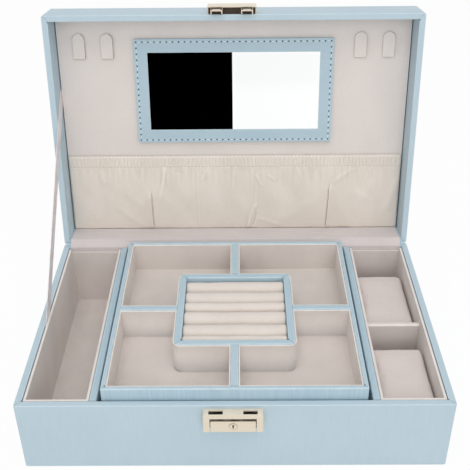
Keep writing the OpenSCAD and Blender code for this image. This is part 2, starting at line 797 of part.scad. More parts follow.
// Standing-off of the cloth's back from the panel at u across and v up, both from 0 to 1:
// full in the belly, drawn flat at the sides and seam, with soft folds hanging from the casing
// and two deep tucks.
function tuck(u, at, wide) = exp(-pow((u - at) / wide, 2));
function belly(u, v) = pocket_full * sin(180 * pow(v, 0.7)) * pow(sin(180 * u), 0.35);
function folds(u, v) = 0.55 * sin(180 * u) * (
    sin(360 * (17 * u + 0.3 * sin(300 * u))) * v + 0.7 * sin(360 * (9 * u + 0.25 * v) + 50) * sin(180 * v));
function tucks(u, v) = sin(180 * min(1, v * 1.3)) * (
    1.5 * tuck(u, 0.244 - 0.006 * v, 0.012) + 1.3 * tuck(u, 0.784 + 0.011 * v, 0.012));
cloth_clear = elastic_t + 0.3;               // least distance of the cloth's back from the panel
function stand_off(u, v) =
    cloth_clear + max(0, belly(u, v) + folds(u, v) * min(1, 3 * sin(180 * v)) - tucks(u, v));
casing_start = 1 - casing_l / (pocket_top_s - pocket_low_s);
function cloth_back(u, v) = v > casing_start
    ? cloth_clear + 0.2 * (1 + sin(360 * 31 * u)) * sin(180 * (v - casing_start) / (1 - casing_start))
    : stand_off(u, v / casing_start);

function cloth_point(i, j, front) =
    let (u = i / folds_across, v = j / folds_up,
         off = cloth_back(u, v) + (front ? cloth_t : 0))
    [-pocket_w / 2 + pocket_w * u,
     hinge_y - pocket_low_s - (pocket_top_s - pocket_low_s) * v,
     panel_z - off];

module pocket_cloth() {
    row = folds_across + 1;
    sheet = row * (folds_up + 1);
    front = [for (j = [0 : folds_up], i = [0 : folds_across]) cloth_point(i, j, true)];
    back = [for (j = [0 : folds_up], i = [0 : folds_across]) cloth_point(i, j, false)];
    front_faces = [for (j = [0 : folds_up - 1], i = [0 : folds_across - 1])
        let (a = j * row + i) each [[a, a + 1, a + row], [a + 1, a + row + 1, a + row]]];
    back_faces = [for (f = front_faces) [f[2] + sheet, f[1] + sheet, f[0] + sheet]];
    ends = [for (i = [0 : folds_across - 1], j = [0, folds_up])
        let (a = j * row + i, b = a + 1, p = j == 0 ? [b, a] : [a, b])
        each [[p[0], p[1], p[0] + sheet], [p[1], p[1] + sheet, p[0] + sheet]]];
    sides = [for (j = [0 : folds_up - 1], i = [0, folds_across])
        let (a = j * row + i, b = a + row, p = i == 0 ? [a, b] : [b, a])
        each [[p[0], p[1], p[0] + sheet], [p[1], p[1] + sheet, p[0] + sheet]]];
    color(cream_satin) open_lid()
        polyhedron(points = concat(front, back), faces = concat(front_faces, back_faces, ends, sides));
}

module pocket_elastic() {
    middle_y = hinge_y - pocket_top_s + casing_l / 2;
    elastic_l = casing_l - 3;                // narrower than the casing that it runs in
    color(cream_satin) open_lid()
        block([-pocket_w / 2, middle_y - elastic_l / 2, panel_z - elastic_t],
              [pocket_w / 2, middle_y + elastic_l / 2, panel_z]);
}

// ---------- hasp ----------

hasp_in = hasp_out - hasp_sheet;

// Pressed cover: open at its lower end, where the catches come out, and against the wall.
module hasp_cover() {
    color(pale_brass) open_lid() on_front() difference() {
        translate([0, hasp_out, hasp_z + hasp_h / 2]) rotate([90, 0, 0]) linear_extrude(hasp_out)
            rounded_square(hasp_w, hasp_h, 1);
        block([-hasp_w / 2 + hasp_sheet, -1, hasp_z - 1],
              [hasp_w / 2 - hasp_sheet, hasp_in, hasp_z + hasp_h - hasp_sheet]);
    }
}

module catch_block(grow) {
    for (side = [-1, 1])
        block([side * catch_gap / 2 - catch_w / 2 - grow, catch_off - grow, catch_tip_z],
              [side * catch_gap / 2 + catch_w / 2 + grow, catch_front + grow, catch_root_z + grow]);
}

rivet_in = 1;                                // material left in front of a rivet
// Dark core that holds the catches and takes the rivets.
module hasp_core() {
    core_inset = 0.8;                        // it lies back from the cover's lower end
    color(dark_steel) open_lid() on_front() difference() {
        block([-hasp_w / 2 + hasp_sheet + fit, 0, hasp_z + core_inset],
              [hasp_w / 2 - hasp_sheet - fit, hasp_in - fit, hasp_z + hasp_h - hasp_sheet - fit]);
        catch_block(0);
        for (side = [-1, 1]) rod_out(side * rivet_x, rivet_z, -1, hasp_in - rivet_in, rivet_r);
    }
}

// Two channels of bent steel, each with a window near its tip for a hook.
module hasp_catches() {
    color(pale_brass) open_lid() on_front() difference() {
        catch_block(0);
        for (side = [-1, 1]) {
            middle = side * catch_gap / 2;
            inner = catch_w / 2 - catch_sheet;
            window_z = catch_tip_z + catch_bar;
            block([middle - inner, catch_off - 1, catch_tip_z - 1],
                  [middle + inner, catch_front - catch_sheet, catch_root_z + 1]);
            block([middle - catch_window_w / 2, catch_off, window_z],
                  [middle + catch_window_w / 2, catch_front + 1, window_z + catch_window_h]);
        }
    }
}

module hasp_rivets() {
    head_r = 2;
    head_t = 0.7;
    color(pale_brass) open_lid() on_front() for (side = [-1, 1]) {
        rod_out(side * rivet_x, rivet_z, -wall_t - eps, hasp_in - rivet_in - fit, rivet_r);
        rod_out(side * rivet_x, rivet_z, -wall_t - head_t, -wall_t, head_r);
    }
}

// ---------- tray ----------

tray_r = 1;
tray_in_x = tray_w / 2 - tray_wall_t;
tray_in_front = tray_front_y + tray_wall_t;
tray_in_back = tray_back_y - tray_wall_t;

module tray_walls() {
    color(blue_leather) difference() {
        translate([0, tray_y, tray_z]) linear_extrude(tray_h) rounded_square(tray_w, tray_d, tray_r);
        block([-tray_in_x, tray_in_front, tray_z - 1], [tray_in_x, tray_in_back, tray_top + 1]);
        translate([0, tray_y, tray_top]) {
            outer_waste(tray_w, tray_d, tray_r, trim_r);
            mouth_waste(2 * tray_in_x, tray_in_back - tray_in_front, trim_r);
        }
    }
}

module tray_floor() {
    color(cream_velvet) block([-tray_in_x, tray_in_front, tray_z], [tray_in_x, tray_in_back, tray_in_z]);
}

ring_half_w = ring_w / 2;
ring_front = ring_y - ring_d / 2;
ring_back = ring_y + ring_d / 2;
bed_w = ring_w - 2 * ring_wall_t;            // inside the ring frame
bed_d = ring_d - 2 * ring_wall_t;

module tray_rear_arm() {
    color(blue_rim)
        soft_board([-arm_t / 2, ring_back, tray_in_z], [arm_t / 2, tray_in_back, tray_top], trim_r);
}
module tray_front_arm() {
    color(blue_rim)
        soft_board([-arm_t / 2, tray_in_front, tray_in_z], [arm_t / 2, ring_front, tray_top], trim_r);
}
module side_arm(side) {
    color(blue_rim) mirror([side > 0 ? 0 : 1, 0, 0]) rotate(-90) soft_board(
        [-watch_y - arm_t / 2, ring_half_w, tray_in_z], [-watch_y + arm_t / 2, tray_in_x, tray_top], trim_r);
}
module tray_left_arm() { side_arm(-1); }
module tray_right_arm() { side_arm(1); }

module ring_frame() {
    color(blue_rim) difference() {
        translate([0, ring_y, tray_in_z]) linear_extrude(tray_top - tray_in_z)
            rounded_square(ring_w, ring_d, ring_r);
        translate([-bed_w / 2, ring_y - bed_d / 2, tray_in_z - 1]) cube([bed_w, bed_d, tray_h]);
        translate([0, ring_y, tray_top]) {
            outer_waste(ring_w, ring_d, ring_r, trim_r);
            mouth_waste(bed_w, bed_d, trim_r);
        }
    }
}

module ring_bed() {
    color(grey_board) translate([-bed_w / 2 + fit, ring_y - bed_d / 2 + fit, tray_in_z])
        cube([bed_w - 2 * fit, bed_d - 2 * fit, bed_h]);
}

function shares_before(i) = i == 0 ? 0 : roll_shares[i - 1] + shares_before(i - 1);
roll_scale = bed_d / shares_before(len(roll_shares));
roll_gap = 0.2;
roll_end_r = 2;
// Padded rolls side by side: rings are pressed in between them.
module ring_rolls() {
    bed_top = tray_in_z + bed_h;
    top = tray_top - roll_drop;
    color(cream_velvet) for (i = [0 : len(roll_shares) - 1]) {
        w = roll_shares[i] * roll_scale - roll_gap;
        y = ring_y - bed_d / 2 + (shares_before(i) + roll_shares[i] / 2) * roll_scale;
        h = top - bed_top;
        intersection() {
            union() {
                translate([-bed_w / 2, y, top - w / 2]) rotate([0, 90, 0]) cylinder(h = bed_w, d = w);
                block([-bed_w / 2, y - w / 2, bed_top], [bed_w / 2, y + w / 2, top - w / 2]);
            }
            translate([0, y + bed_d / 2, bed_top + h / 2]) rotate([90, 0, 0])
                linear_extrude(bed_d) rounded_square(bed_w - 2 * fit, h, roll_end_r);
        }
    }
}

// Floor plan of one compartment: a corner of the tray, less the ring frame and the arms.
module corner_plan(sx, sy, inset) {
    difference() {
        mirror([sx > 0 ? 0 : 1, 0]) {
            y0 = sy > 0 ? watch_y + arm_t / 2 : tray_in_front;
            y1 = sy > 0 ? tray_in_back : watch_y - arm_t / 2;
            translate([arm_t / 2 + inset, y0 + inset])
                square([tray_in_x - arm_t / 2 - 2 * inset, y1 - y0 - 2 * inset]);
        }
        translate([0, ring_y]) rounded_square(ring_w + 2 * inset, ring_d + 2 * inset, ring_r + inset);
    }
}

lining_gap = 0.05;                           // between a lining and what it is pushed in between
lining_drop = 0.6;                           // from the tray's top to a lining's
// L-shaped velvet box that lines one compartment.
module corner_lining(sx, sy) {
    color(cream_velvet) translate([0, 0, tray_in_z]) difference() {
        linear_extrude(tray_top - tray_in_z - lining_drop) corner_plan(sx, sy, lining_gap);
        translate([0, 0, lining_t]) linear_extrude(tray_h) corner_plan(sx, sy, lining_gap + lining_t);
    }
}
module rear_left_lining() { corner_lining(-1, 1); }
module rear_right_lining() { corner_lining(1, 1); }
module front_left_lining() { corner_lining(-1, -1); }
module front_right_lining() { corner_lining(1, -1); }

// ---------- watch pillows ----------

pillow_turns = 32;                           // points round a pillow
pillow_low_r = 2;                            // radius of the edges round the underside
pillow_square = 0.16;                        // how squarely it turns its upright edges, 1 is an ellipse
pillow_left = divider_out + fit + liner_t + pillow_left_gap;
pillow_right = card_x - liner_t - pillow_right_gap;
pillow_w = pillow_right - pillow_left;
pillow_x = (pillow_left + pillow_right) / 2;
pillow_z = floor_z + liner_t;
function signed_pow(v, e) = sign(v) * pow(abs(v), e);

// Steps up a pillow as [inset, height, share of the half size]: round the lower edge, up the side,
// round the upper edge and over the crown.
pillow_steps = concat(
    [for (a = [-90, -50, -15]) [pillow_low_r * (1 - cos(a)), pillow_low_r * (1 + sin(a)), 1]],
    [for (a = [0, 25, 50, 75])
        [pillow_edge_r * (1 - cos(a)), pillow_h - pillow_crown - pillow_edge_r * (1 - sin(a)), 1]],
    [for (f = [0.85, 0.6, 0.3])
        [pillow_edge_r * 0.9, pillow_h - pillow_crown * f * f, f]]);

// Point at one turn of one step: a rounded block whose sides draw in between the corners.
function pillow_point(turn, step) =
    let (a = 360 * turn, x = signed_pow(cos(a), pillow_square), y = signed_pow(sin(a), pillow_square),
         draw = pillow_pull * (1 - pow(abs(y), 4)) * x)
    [(x * (pillow_w / 2 - step[0]) - draw) * step[2], y * (pillow_l / 2 - step[0]) * step[2], step[1]];

module pillow(y) {
    n = pillow_turns;
    rings = [for (step = pillow_steps, i = [0 : n - 1]) pillow_point(i / n, step)];
    last = (len(pillow_steps) - 1) * n;
    sides = [for (j = [0 : len(pillow_steps) - 2], i = [0 : n - 1])
        let (a = j * n + i, b = j * n + (i + 1) % n)
        each [[a, a + n, b], [b, a + n, b + n]]];
    crown = [for (i = [0 : n - 1]) [last + i, last + n, last + (i + 1) % n]];
    under = [[for (i = [0 : n - 1]) i]];
    color(cream_velvet) translate([pillow_x, y, pillow_z + fit])
        polyhedron(points = concat(rings, [[0, 0, pillow_h]]), faces = concat(sides, crown, under));
}

card_in_back = card_y - liner_t;             // inner face of the compartment's back, and its front mirrored
rear_bay = card_in_back - (watch_y + watch_divider_t / 2);
front_bay = (watch_y - watch_divider_t / 2) + card_in_back;
rear_share = 0.79;                           // share of the free length behind the rear pillow
front_share = 0.1;                           // share of the free length before the front one
module pillow_rear() { pillow(card_in_back - pillow_l / 2 - (rear_bay - pillow_l) * rear_share); }
module pillow_front() { pillow(-card_in_back + pillow_l / 2 + (front_bay - pillow_l) * front_share); }

floor_board();
front_board();
back_board();
left_board();
right_board();
base_leather();
bottom_cover();
left_liner();
right_liner();
bay_liner();
left_divider();
right_divider();
watch_divider();
lock_case();
lock_back_plate();
lock_screws();
lock_spring();
lock_pivot_pin();
press_plate();
press_hooks();
key_barrel();
stay_ribbon();
hinge_strip();
hinge_lining();
lid_top_board();
lid_front_board();
lid_back_board();
lid_left_board();
lid_right_board();
lid_leather();
lid_padding();
lid_panel();
mirror_frame();
mirror_glass();
mirror_backing();
necklace_tabs();
pocket_cloth();
pocket_elastic();
hasp_cover();
hasp_core();
hasp_catches();
hasp_rivets();
tray_walls();
tray_floor();
tray_rear_arm();
tray_front_arm();
tray_left_arm();
tray_right_arm();
ring_frame();
ring_bed();
ring_rolls();
rear_left_lining();
rear_right_lining();
front_left_lining();
front_right_lining();
pillow_rear();
pillow_front();
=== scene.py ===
# Vanity box with a mirror in its lid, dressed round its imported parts.
# Metres. The box stands on z = 0, its front towards -Y, and is drawn with the lid open.

import json
import math

import bmesh
import bpy
from mathutils import Matrix, Vector, noise
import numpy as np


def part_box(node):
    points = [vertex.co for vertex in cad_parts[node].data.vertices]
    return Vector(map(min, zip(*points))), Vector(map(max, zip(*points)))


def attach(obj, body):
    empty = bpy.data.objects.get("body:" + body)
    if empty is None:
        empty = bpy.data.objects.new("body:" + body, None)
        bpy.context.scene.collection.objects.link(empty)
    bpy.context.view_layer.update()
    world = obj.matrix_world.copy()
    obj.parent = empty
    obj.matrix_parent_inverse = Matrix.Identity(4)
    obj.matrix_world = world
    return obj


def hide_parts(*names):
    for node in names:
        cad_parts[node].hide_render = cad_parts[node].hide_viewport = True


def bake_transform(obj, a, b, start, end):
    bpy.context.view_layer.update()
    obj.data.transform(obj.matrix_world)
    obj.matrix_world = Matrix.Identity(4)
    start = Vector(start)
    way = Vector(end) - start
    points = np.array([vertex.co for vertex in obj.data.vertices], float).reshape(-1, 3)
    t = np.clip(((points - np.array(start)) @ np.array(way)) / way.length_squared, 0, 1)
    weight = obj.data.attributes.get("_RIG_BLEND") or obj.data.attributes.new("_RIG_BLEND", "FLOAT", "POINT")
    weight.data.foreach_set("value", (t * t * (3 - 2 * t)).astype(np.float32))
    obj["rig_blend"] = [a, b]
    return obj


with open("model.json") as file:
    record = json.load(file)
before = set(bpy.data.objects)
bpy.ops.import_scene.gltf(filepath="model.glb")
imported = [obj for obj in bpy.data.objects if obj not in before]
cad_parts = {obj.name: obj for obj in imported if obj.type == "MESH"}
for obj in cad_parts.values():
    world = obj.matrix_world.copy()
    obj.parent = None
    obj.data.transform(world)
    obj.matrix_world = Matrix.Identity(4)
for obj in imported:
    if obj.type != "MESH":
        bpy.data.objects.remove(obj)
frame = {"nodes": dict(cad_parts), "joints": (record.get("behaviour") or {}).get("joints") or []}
bpy.context.view_layer.update()


# ---- Camera ----
# A camera with a moderate tele lens stands in front of the box and looks down on it. Its place
# was solved from the box's straight edges.
mm = 0.001
scene = bpy.context.scene
CAMERA_PLACE = Vector((4.39, -467.17, 430.49)) * mm
CAMERA_YAW = math.radians(0.461)
CAMERA_PITCH = math.radians(33.057)
CAMERA_ROLL = math.radians(-0.582)
CAMERA_LENS = 61.84                       # on a sensor 36 mm wide

camera = bpy.data.objects.new("camera", bpy.data.cameras.new("camera"))
camera.data.lens = CAMERA_LENS
camera.data.sensor_width = 36
camera.data.clip_start = 0.01
scene.collection.objects.link(camera)
camera.matrix_world = (Matrix.Translation(CAMERA_PLACE) @ Matrix.Rotation(CAMERA_YAW, 4, "Z")
                       @ Matrix.Rotation(math.pi / 2 - CAMERA_PITCH, 4, "X")
                       @ Matrix.Rotation(CAMERA_ROLL, 4, "Z"))
scene.camera = camera


# ---- Studio ----
# A white floor, an even white world and two weak soft lamps. The camera and the mirror see the
# surroundings plain white, apart from a black card that only the mirror sees.
scene.view_settings.view_transform = "Standard"
WORLD_LIGHT = 0.69
FLOOR_HALF = 3.0
FLOOR_GLOW = 0.93                         # share of plain white in the floor; the rest takes the shadow


def seen_directly(nodes, links):
    """1 where the camera, a mirror or a glass looks at the surface, 0 where it lights others."""
    path = nodes.new("ShaderNodeLightPath")
    seen = nodes.new("ShaderNodeMath")
    seen.operation = "MAXIMUM"
    seen_too = nodes.new("ShaderNodeMath")
    seen_too.operation = "MAXIMUM"
    links.new(path.outputs["Is Camera Ray"], seen.inputs[0])
    links.new(path.outputs["Is Glossy Ray"], seen.inputs[1])
    links.new(seen.outputs[0], seen_too.inputs[0])
    links.new(path.outputs["Is Transmission Ray"], seen_too.inputs[1])
    return seen_too.outputs[0]


def lamp(name, place, aim, size, power):
    """Square soft lamp that looks from its place towards a point."""
    data = bpy.data.lights.new(name, "AREA")
    data.shape = "SQUARE"
    data.size = size
    data.energy = power
    obj = bpy.data.objects.new(name, data)
    scene.collection.objects.link(obj)
    obj.location = place
    obj.rotation_euler = (Vector(aim) - Vector(place)).to_track_quat("-Z", "Y").to_euler()
    obj.visible_camera = False
    obj.visible_glossy = False


def flat_sheet(name, finish):
    """Square of one face, two metres wide, that belongs to the studio."""
    mesh = bpy.data.meshes.new(name)
    bm = bmesh.new()
    bmesh.ops.create_grid(bm, x_segments=1, y_segments=1, size=1)
    bm.to_mesh(mesh)
    bm.free()
    mesh.materials.append(finish)
    obj = bpy.data.objects.new(name, mesh)
    scene.collection.objects.link(obj)
    return obj


world = bpy.data.worlds.new("studio")
scene.world = world
world.use_nodes = True
world_nodes, world_links = world.node_tree.nodes, world.node_tree.links
world_nodes["Background"].inputs["Color"].default_value = (0.985, 0.99, 1.0, 1.0)
world_nodes["Background"].inputs["Strength"].default_value = WORLD_LIGHT
bright = world_nodes.new("ShaderNodeBackground")
bright.inputs["Color"].default_value = (1.0, 1.0, 1.0, 1.0)
bright.inputs["Strength"].default_value = 1.0
choose = world_nodes.new("ShaderNodeMixShader")
world_links.new(seen_directly(world_nodes, world_links), choose.inputs[0])
world_links.new(world_nodes["Background"].outputs[0], choose.inputs[1])
world_links.new(bright.outputs[0], choose.inputs[2])
world_links.new(choose.outputs[0], world_nodes["World Output"].inputs["Surface"])

paper = bpy.data.materials.new("white_paper")
paper.use_nodes = True
paper_nodes, paper_links = paper.node_tree.nodes, paper.node_tree.links
paper_shader = paper_nodes["Principled BSDF"]
paper_shader.inputs["Base Color"].default_value = (0.9, 0.9, 0.9, 1.0)
paper_shader.inputs["Roughness"].default_value = 0.9
paper_shader.inputs["Specular IOR Level"].default_value = 0.0
glow = paper_nodes.new("ShaderNodeEmission")
glow.inputs["Color"].default_value = (1.0, 1.0, 1.0, 1.0)
glow.inputs["Strength"].default_value = 1.0
share = paper_nodes.new("ShaderNodeMath")
share.operation = "MULTIPLY"
share.inputs[1].default_value = FLOOR_GLOW
paper_mix = paper_nodes.new("ShaderNodeMixShader")
paper_links.new(seen_directly(paper_nodes, paper_links), share.inputs[0])
paper_links.new(share.outputs[0], paper_mix.inputs[0])
paper_links.new(paper_shader.outputs[0], paper_mix.inputs[1])
paper_links.new(glow.outputs[0], paper_mix.inputs[2])
paper_links.new(paper_mix.outputs[0], paper_nodes["Material Output"].inputs["Surface"])
floor = flat_sheet("floor", paper)
floor.scale = (FLOOR_HALF, FLOOR_HALF, 1)

black = bpy.data.materials.new("black_card")
black.use_nodes = True
black_shader = black.node_tree.nodes["Principled BSDF"]
black_shader.inputs["Base Color"].default_value = (0, 0, 0, 1)
black_shader.inputs["Specular IOR Level"].default_value = 0.0
CARD_EDGE = -7.7 * mm                     # its right edge stands in the middle of the mirror
CARD_HALF_W, CARD_HALF_H = 0.16, 0.13
CARD_AHEAD, CARD_UP = 0.6, 0.131
card = flat_sheet("black_card", black)
card.scale = (CARD_HALF_W, CARD_HALF_H, 1)
card.rotation_euler = (math.pi / 2, 0, 0)
card.location = (CARD_EDGE - CARD_HALF_W, -CARD_AHEAD, CARD_UP)
card.visible_camera = False
card.visible_diffuse = False
card.visible_transmission = False
card.visible_shadow = False

LAMP_SIZE = 1.0
lamp("front_lamp", (0.1, -1.4, 0.8), (0, 0, 0.1), LAMP_SIZE, 5.9)
lamp("top_lamp", (0.0, -0.35, 1.5), (0, 0, 0.05), LAMP_SIZE, 5.5)


# ---- Boards ----
# The box is glued up from thin fibreboard: a floor, four walls, the lid's top and walls, and a
# backing behind the glass. Leather and velvet hide it, apart from the raw inner edges.
BOARD_COLOUR = (158, 139, 112)


def linear(rgb):
    """Colour written as eight-bit display values, as the shader wants it."""
    parts = [v / 255 for v in rgb]
    return tuple(p / 12.92 if p <= 0.04045 else ((p + 0.055) / 1.055) ** 2.4 for p in parts) + (1.0,)


def new_finish(name, colour, roughness, metallic=0.0, specular=0.5):
    """Material with a plain shader, which the texture calls below then work on."""
    mat = bpy.data.materials.new(name)
    mat.use_nodes = True
    shader = mat.node_tree.nodes["Principled BSDF"]
    shader.inputs["Base Color"].default_value = linear(colour)
    shader.inputs["Roughness"].default_value = roughness
    shader.inputs["Metallic"].default_value = metallic
    shader.inputs["Specular IOR Level"].default_value = specular
    return mat


def noise_field(mat, per_metre, detail=4.0, turn=0.0):
    """Noise on object coordinates: per_metre is its fineness, or that along x, y and z."""
    nodes, links = mat.node_tree.nodes, mat.node_tree.links
    place = nodes.new("ShaderNodeTexCoord")
    mapping = nodes.new("ShaderNodeMapping")
    mapping.inputs["Rotation"].default_value = (turn, 0, 0)
    mapping.inputs["Scale"].default_value = (
        per_metre if isinstance(per_metre, tuple) else (per_metre, per_metre, per_metre))
    field = nodes.new("ShaderNodeTexNoise")
    field.inputs["Scale"].default_value = 1.0
    field.inputs["Detail"].default_value = detail
    links.new(place.outputs["Object"], mapping.inputs["Vector"])
    links.new(mapping.outputs["Vector"], field.inputs["Vector"])
    return field.outputs["Fac"]


def mix_colour(mat, kind, factor, new_colour):
    """Mixes a colour output or value over the base colour that the material has so far."""
    nodes, links = mat.node_tree.nodes, mat.node_tree.links
    base = nodes["Principled BSDF"].inputs["Base Color"]
    mix = nodes.new("ShaderNodeMix")
    mix.data_type = "RGBA"
    mix.blend_type = kind
    links.new(base.links[0].from_socket, mix.inputs["A"])
    for value, socket in ((factor, "Factor"), (new_colour, "B")):
        if isinstance(value, bpy.types.NodeSocket):
            links.new(value, mix.inputs[socket])
        else:
            mix.inputs[socket].default_value = value
    links.new(mix.outputs["Result"], base)


def tint(mat, field, low, high, start=0.35, stop=0.65):
    """Runs the colour from low to high as the field rises; a second call multiplies the first."""
    nodes, links = mat.node_tree.nodes, mat.node_tree.links
    ramp = nodes.new("ShaderNodeValToRGB")
    ramp.color_ramp.elements[0].position = start
    ramp.color_ramp.elements[0].color = linear(low)
    ramp.color_ramp.elements[1].position = stop
    ramp.color_ramp.elements[1].color = linear(high)
    links.new(field, ramp.inputs["Fac"])
    if nodes["Principled BSDF"].inputs["Base Color"].is_linked:
        mix_colour(mat, "MULTIPLY", 1.0, ramp.outputs["Color"])
    else:
        links.new(ramp.outputs["Color"], nodes["Principled BSDF"].inputs["Base Color"])


def relief(mat, field, depth, strength=1.0):
    """Raises the surface by the field, on top of any relief it already has."""
    nodes, links = mat.node_tree.nodes, mat.node_tree.links
    bump = nodes.new("ShaderNodeBump")
    bump.inputs["Distance"].default_value = depth
    bump.inputs["Strength"].default_value = strength
    normal = nodes["Principled BSDF"].inputs["Normal"]
    if normal.is_linked:
        links.new(normal.links[0].from_socket, bump.inputs["Normal"])
    links.new(field, bump.inputs["Height"])
    links.new(bump.outputs["Normal"], normal)


def dress(finish, *nodes):
    """Puts a finish on CAD parts that are shown as they are."""
    for name in nodes:
        mesh = frame["nodes"][name].data
        mesh.materials.clear()
        mesh.materials.append(finish)


fibreboard = new_finish("fibreboard", BOARD_COLOUR, 0.85, specular=0.2)
tint(fibreboard, noise_field(fibreboard, 900), (140, 121, 95), (172, 154, 127))
relief(fibreboard, noise_field(fibreboard, 2500), 0.1 * mm)
dress(fibreboard, "floor_board", "front_board", "back_board", "left_board", "right_board",
      "lid_top_board", "lid_front_board", "lid_back_board", "lid_left_board", "lid_right_board",
      "mirror_backing")


# ---- Leather of the base ----
# Pale blue coated leather with a fine brushed grain, glued round the walls, folded over the rim
# and down inside. It is mitred at the corners, where the folds are painted dark as shade, and its
# edges are paler, partly worn and partly a painted highlight.
LEATHER = (187, 205, 214)
LEATHER_DEEP = (183, 202, 211)
# Paler colour of the rounded edges: partly wear, partly a painted highlight.
LEATHER_WORN_LIT = (203, 218, 224)
WALL = 4.6 * mm                           # a wall board with its leather on both sides
FOLD_W, FOLD_H = 0.45 * mm, 0.24 * mm
FOLD_INSET = 0.4 * mm                     # from the rim's outer corner to the fold's end


def copy_of(node, pose=None):
    """Mesh of a CAD part with its points merged and its flat faces whole. The face layer "edge"
    is 1 on the narrow roundings along its upper and lower edges, seen as the part lies in pose."""
    bm = bmesh.new()
    bm.from_mesh(frame["nodes"][node].data)
    bmesh.ops.remove_doubles(bm, verts=bm.verts, dist=0.002 * mm)
    bmesh.ops.dissolve_limit(bm, angle_limit=math.radians(0.5), verts=bm.verts, edges=bm.edges)
    turn = (pose or Matrix()).to_3x3()
    edge = bm.faces.layers.float.new("edge")
    for face in bm.faces:
        face[edge] = 1.0 if 0.2 < abs((turn @ face.normal).z) < 0.98 else 0.0
    return bm


def add_piece(name, bm, finish, body, replaced=(), crease=45):
    """Makes an object of a finished mesh and lets it ride on its body."""
    mesh = bpy.data.meshes.new(name)
    bm.to_mesh(mesh)
    bm.free()
    mesh.materials.append(finish)
    mesh.shade_smooth()
    mesh.set_sharp_from_angle(angle=math.radians(crease))
    obj = bpy.data.objects.new(name, mesh)
    scene.collection.objects.link(obj)
    even = obj.modifiers.new("even_normals", "WEIGHTED_NORMAL")
    even.keep_sharp = True
    if body:
        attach(obj, body)
    if replaced:
        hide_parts(*replaced)
    return obj


def cell_field(mat, per_metre):
    """Pebbled cells on object coordinates."""
    nodes, links = mat.node_tree.nodes, mat.node_tree.links
    place = nodes.new("ShaderNodeTexCoord")
    cells = nodes.new("ShaderNodeTexVoronoi")
    cells.inputs["Scale"].default_value = per_metre
    links.new(place.outputs["Object"], cells.inputs["Vector"])
    return cells.outputs["Distance"]


def spread(mat, field, low, high, start=0.3, stop=0.7):
    """The field's values from start to stop, stretched to run from low to high."""
    span = mat.node_tree.nodes.new("ShaderNodeMapRange")
    for socket, value in (("From Min", start), ("From Max", stop), ("To Min", low), ("To Max", high)):
        span.inputs[socket].default_value = value
    mat.node_tree.links.new(field, span.inputs["Value"])
    return span.outputs["Result"]


def uneven_gloss(mat, field, low, high):
    """Roughness from low to high as the field rises."""
    roughness = mat.node_tree.nodes["Principled BSDF"].inputs["Roughness"]
    mat.node_tree.links.new(spread(mat, field, low, high), roughness)


def marked(mat, name):
    """Value that the piece's mesh carries in its layer of that name."""
    mark = mat.node_tree.nodes.new("ShaderNodeAttribute")
    mark.attribute_name = name
    return mark.outputs["Fac"]


def pale_edges(mat, colour, least, most):
    """Lightens the faces marked as edges, unevenly, by a share from least to most: a painted highlight,
    which on leather also stands for wear.
    """
    links = mat.node_tree.links
    amount = mat.node_tree.nodes.new("ShaderNodeMath")
    amount.operation = "MULTIPLY"
    links.new(marked(mat, "edge"), amount.inputs[0])
    links.new(spread(mat, noise_field(mat, 140, 3.0), least, most), amount.inputs[1])
    mix_colour(mat, "MIX", amount.outputs[0], linear(colour))


def leather(name, deep, light, streak, turn=0.0):
    """Coated leather: streak gives the fineness of its brushed grain along x, y and z."""
    mat = new_finish(name, light, 0.5, specular=0.3)
    grain = noise_field(mat, streak, 3.0, turn)
    tint(mat, grain, deep, light, 0.3, 0.7)
    tint(mat, noise_field(mat, 22, 2.0), (251, 252, 253), (255, 255, 255))
    # Paler rounded edges: partly wear, partly a painted highlight.
    pale_edges(mat, LEATHER_WORN_LIT, 0.25, 0.75)
    uneven_gloss(mat, noise_field(mat, 300, 3.0), 0.42, 0.58)
    relief(mat, grain, 0.05 * mm, 0.35)
    relief(mat, cell_field(mat, 1500), 0.04 * mm, 0.4)
    return mat


def corner_folds(bm, middle, half_w, half_d, into, aside=0.0):
    """Overlapped edge of the covering at each mitred corner of a rim, a thin raised fold. It may
    lie aside of the mitre, so that the folds of two rims that meet lie beside each other."""
    for sx, sy in ((-1, -1), (1, -1), (1, 1), (-1, 1)):
        outer = middle + Vector((sx * (half_w - FOLD_INSET - aside), sy * (half_d - FOLD_INSET), 0))
        inner = outer - Vector((sx * into, sy * into, 0))
        fold = bmesh.ops.create_uvsphere(bm, u_segments=12, v_segments=8, radius=0.5)["verts"]
        slant = math.atan2((outer - inner).y, (outer - inner).x)
        bmesh.ops.transform(bm, verts=fold, matrix=(
            Matrix.Translation((outer + inner) / 2) @ Matrix.Rotation(slant, 4, "Z")
            @ Matrix.Diagonal(((outer - inner).length, FOLD_W, FOLD_H, 1))))


base_leather = leather("base_leather", LEATHER_DEEP, LEATHER, (900, 900, 55))
add_piece("base_leather_skin", copy_of("base_leather"), base_leather, "base",
          ["base_leather"])

# Darker leather for the corner folds: painted shade of the mitred seams.
leather_fold_shade = new_finish("leather_fold_shade", (150, 174, 187), 0.55, specular=0.3)
tint(leather_fold_shade, noise_field(leather_fold_shade, 800), (141, 165, 178), (156, 180, 192))
rim_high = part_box("base_leather")[1]
bm = bmesh.new()
corner_folds(bm, Vector((0, 0, rim_high.z)), rim_high.x, rim_high.y, WALL - 2 * FOLD_INSET)
add_piece("base_corner_folds", bm, leather_fold_shade, "base")


# ---- Underside ----
# A dark flocked paper cover is glued under the floor board, a little inside the leather's edge.
# It hides where the leather is turned in.
flock = new_finish("flocked_cover", (120, 112, 106), 0.95, specular=0.1)
tint(flock, noise_field(flock, 1800), (104, 96, 91), (134, 126, 119))
relief(flock, noise_field(flock, 4000), 0.08 * mm)
dress(flock, "bottom_cover")
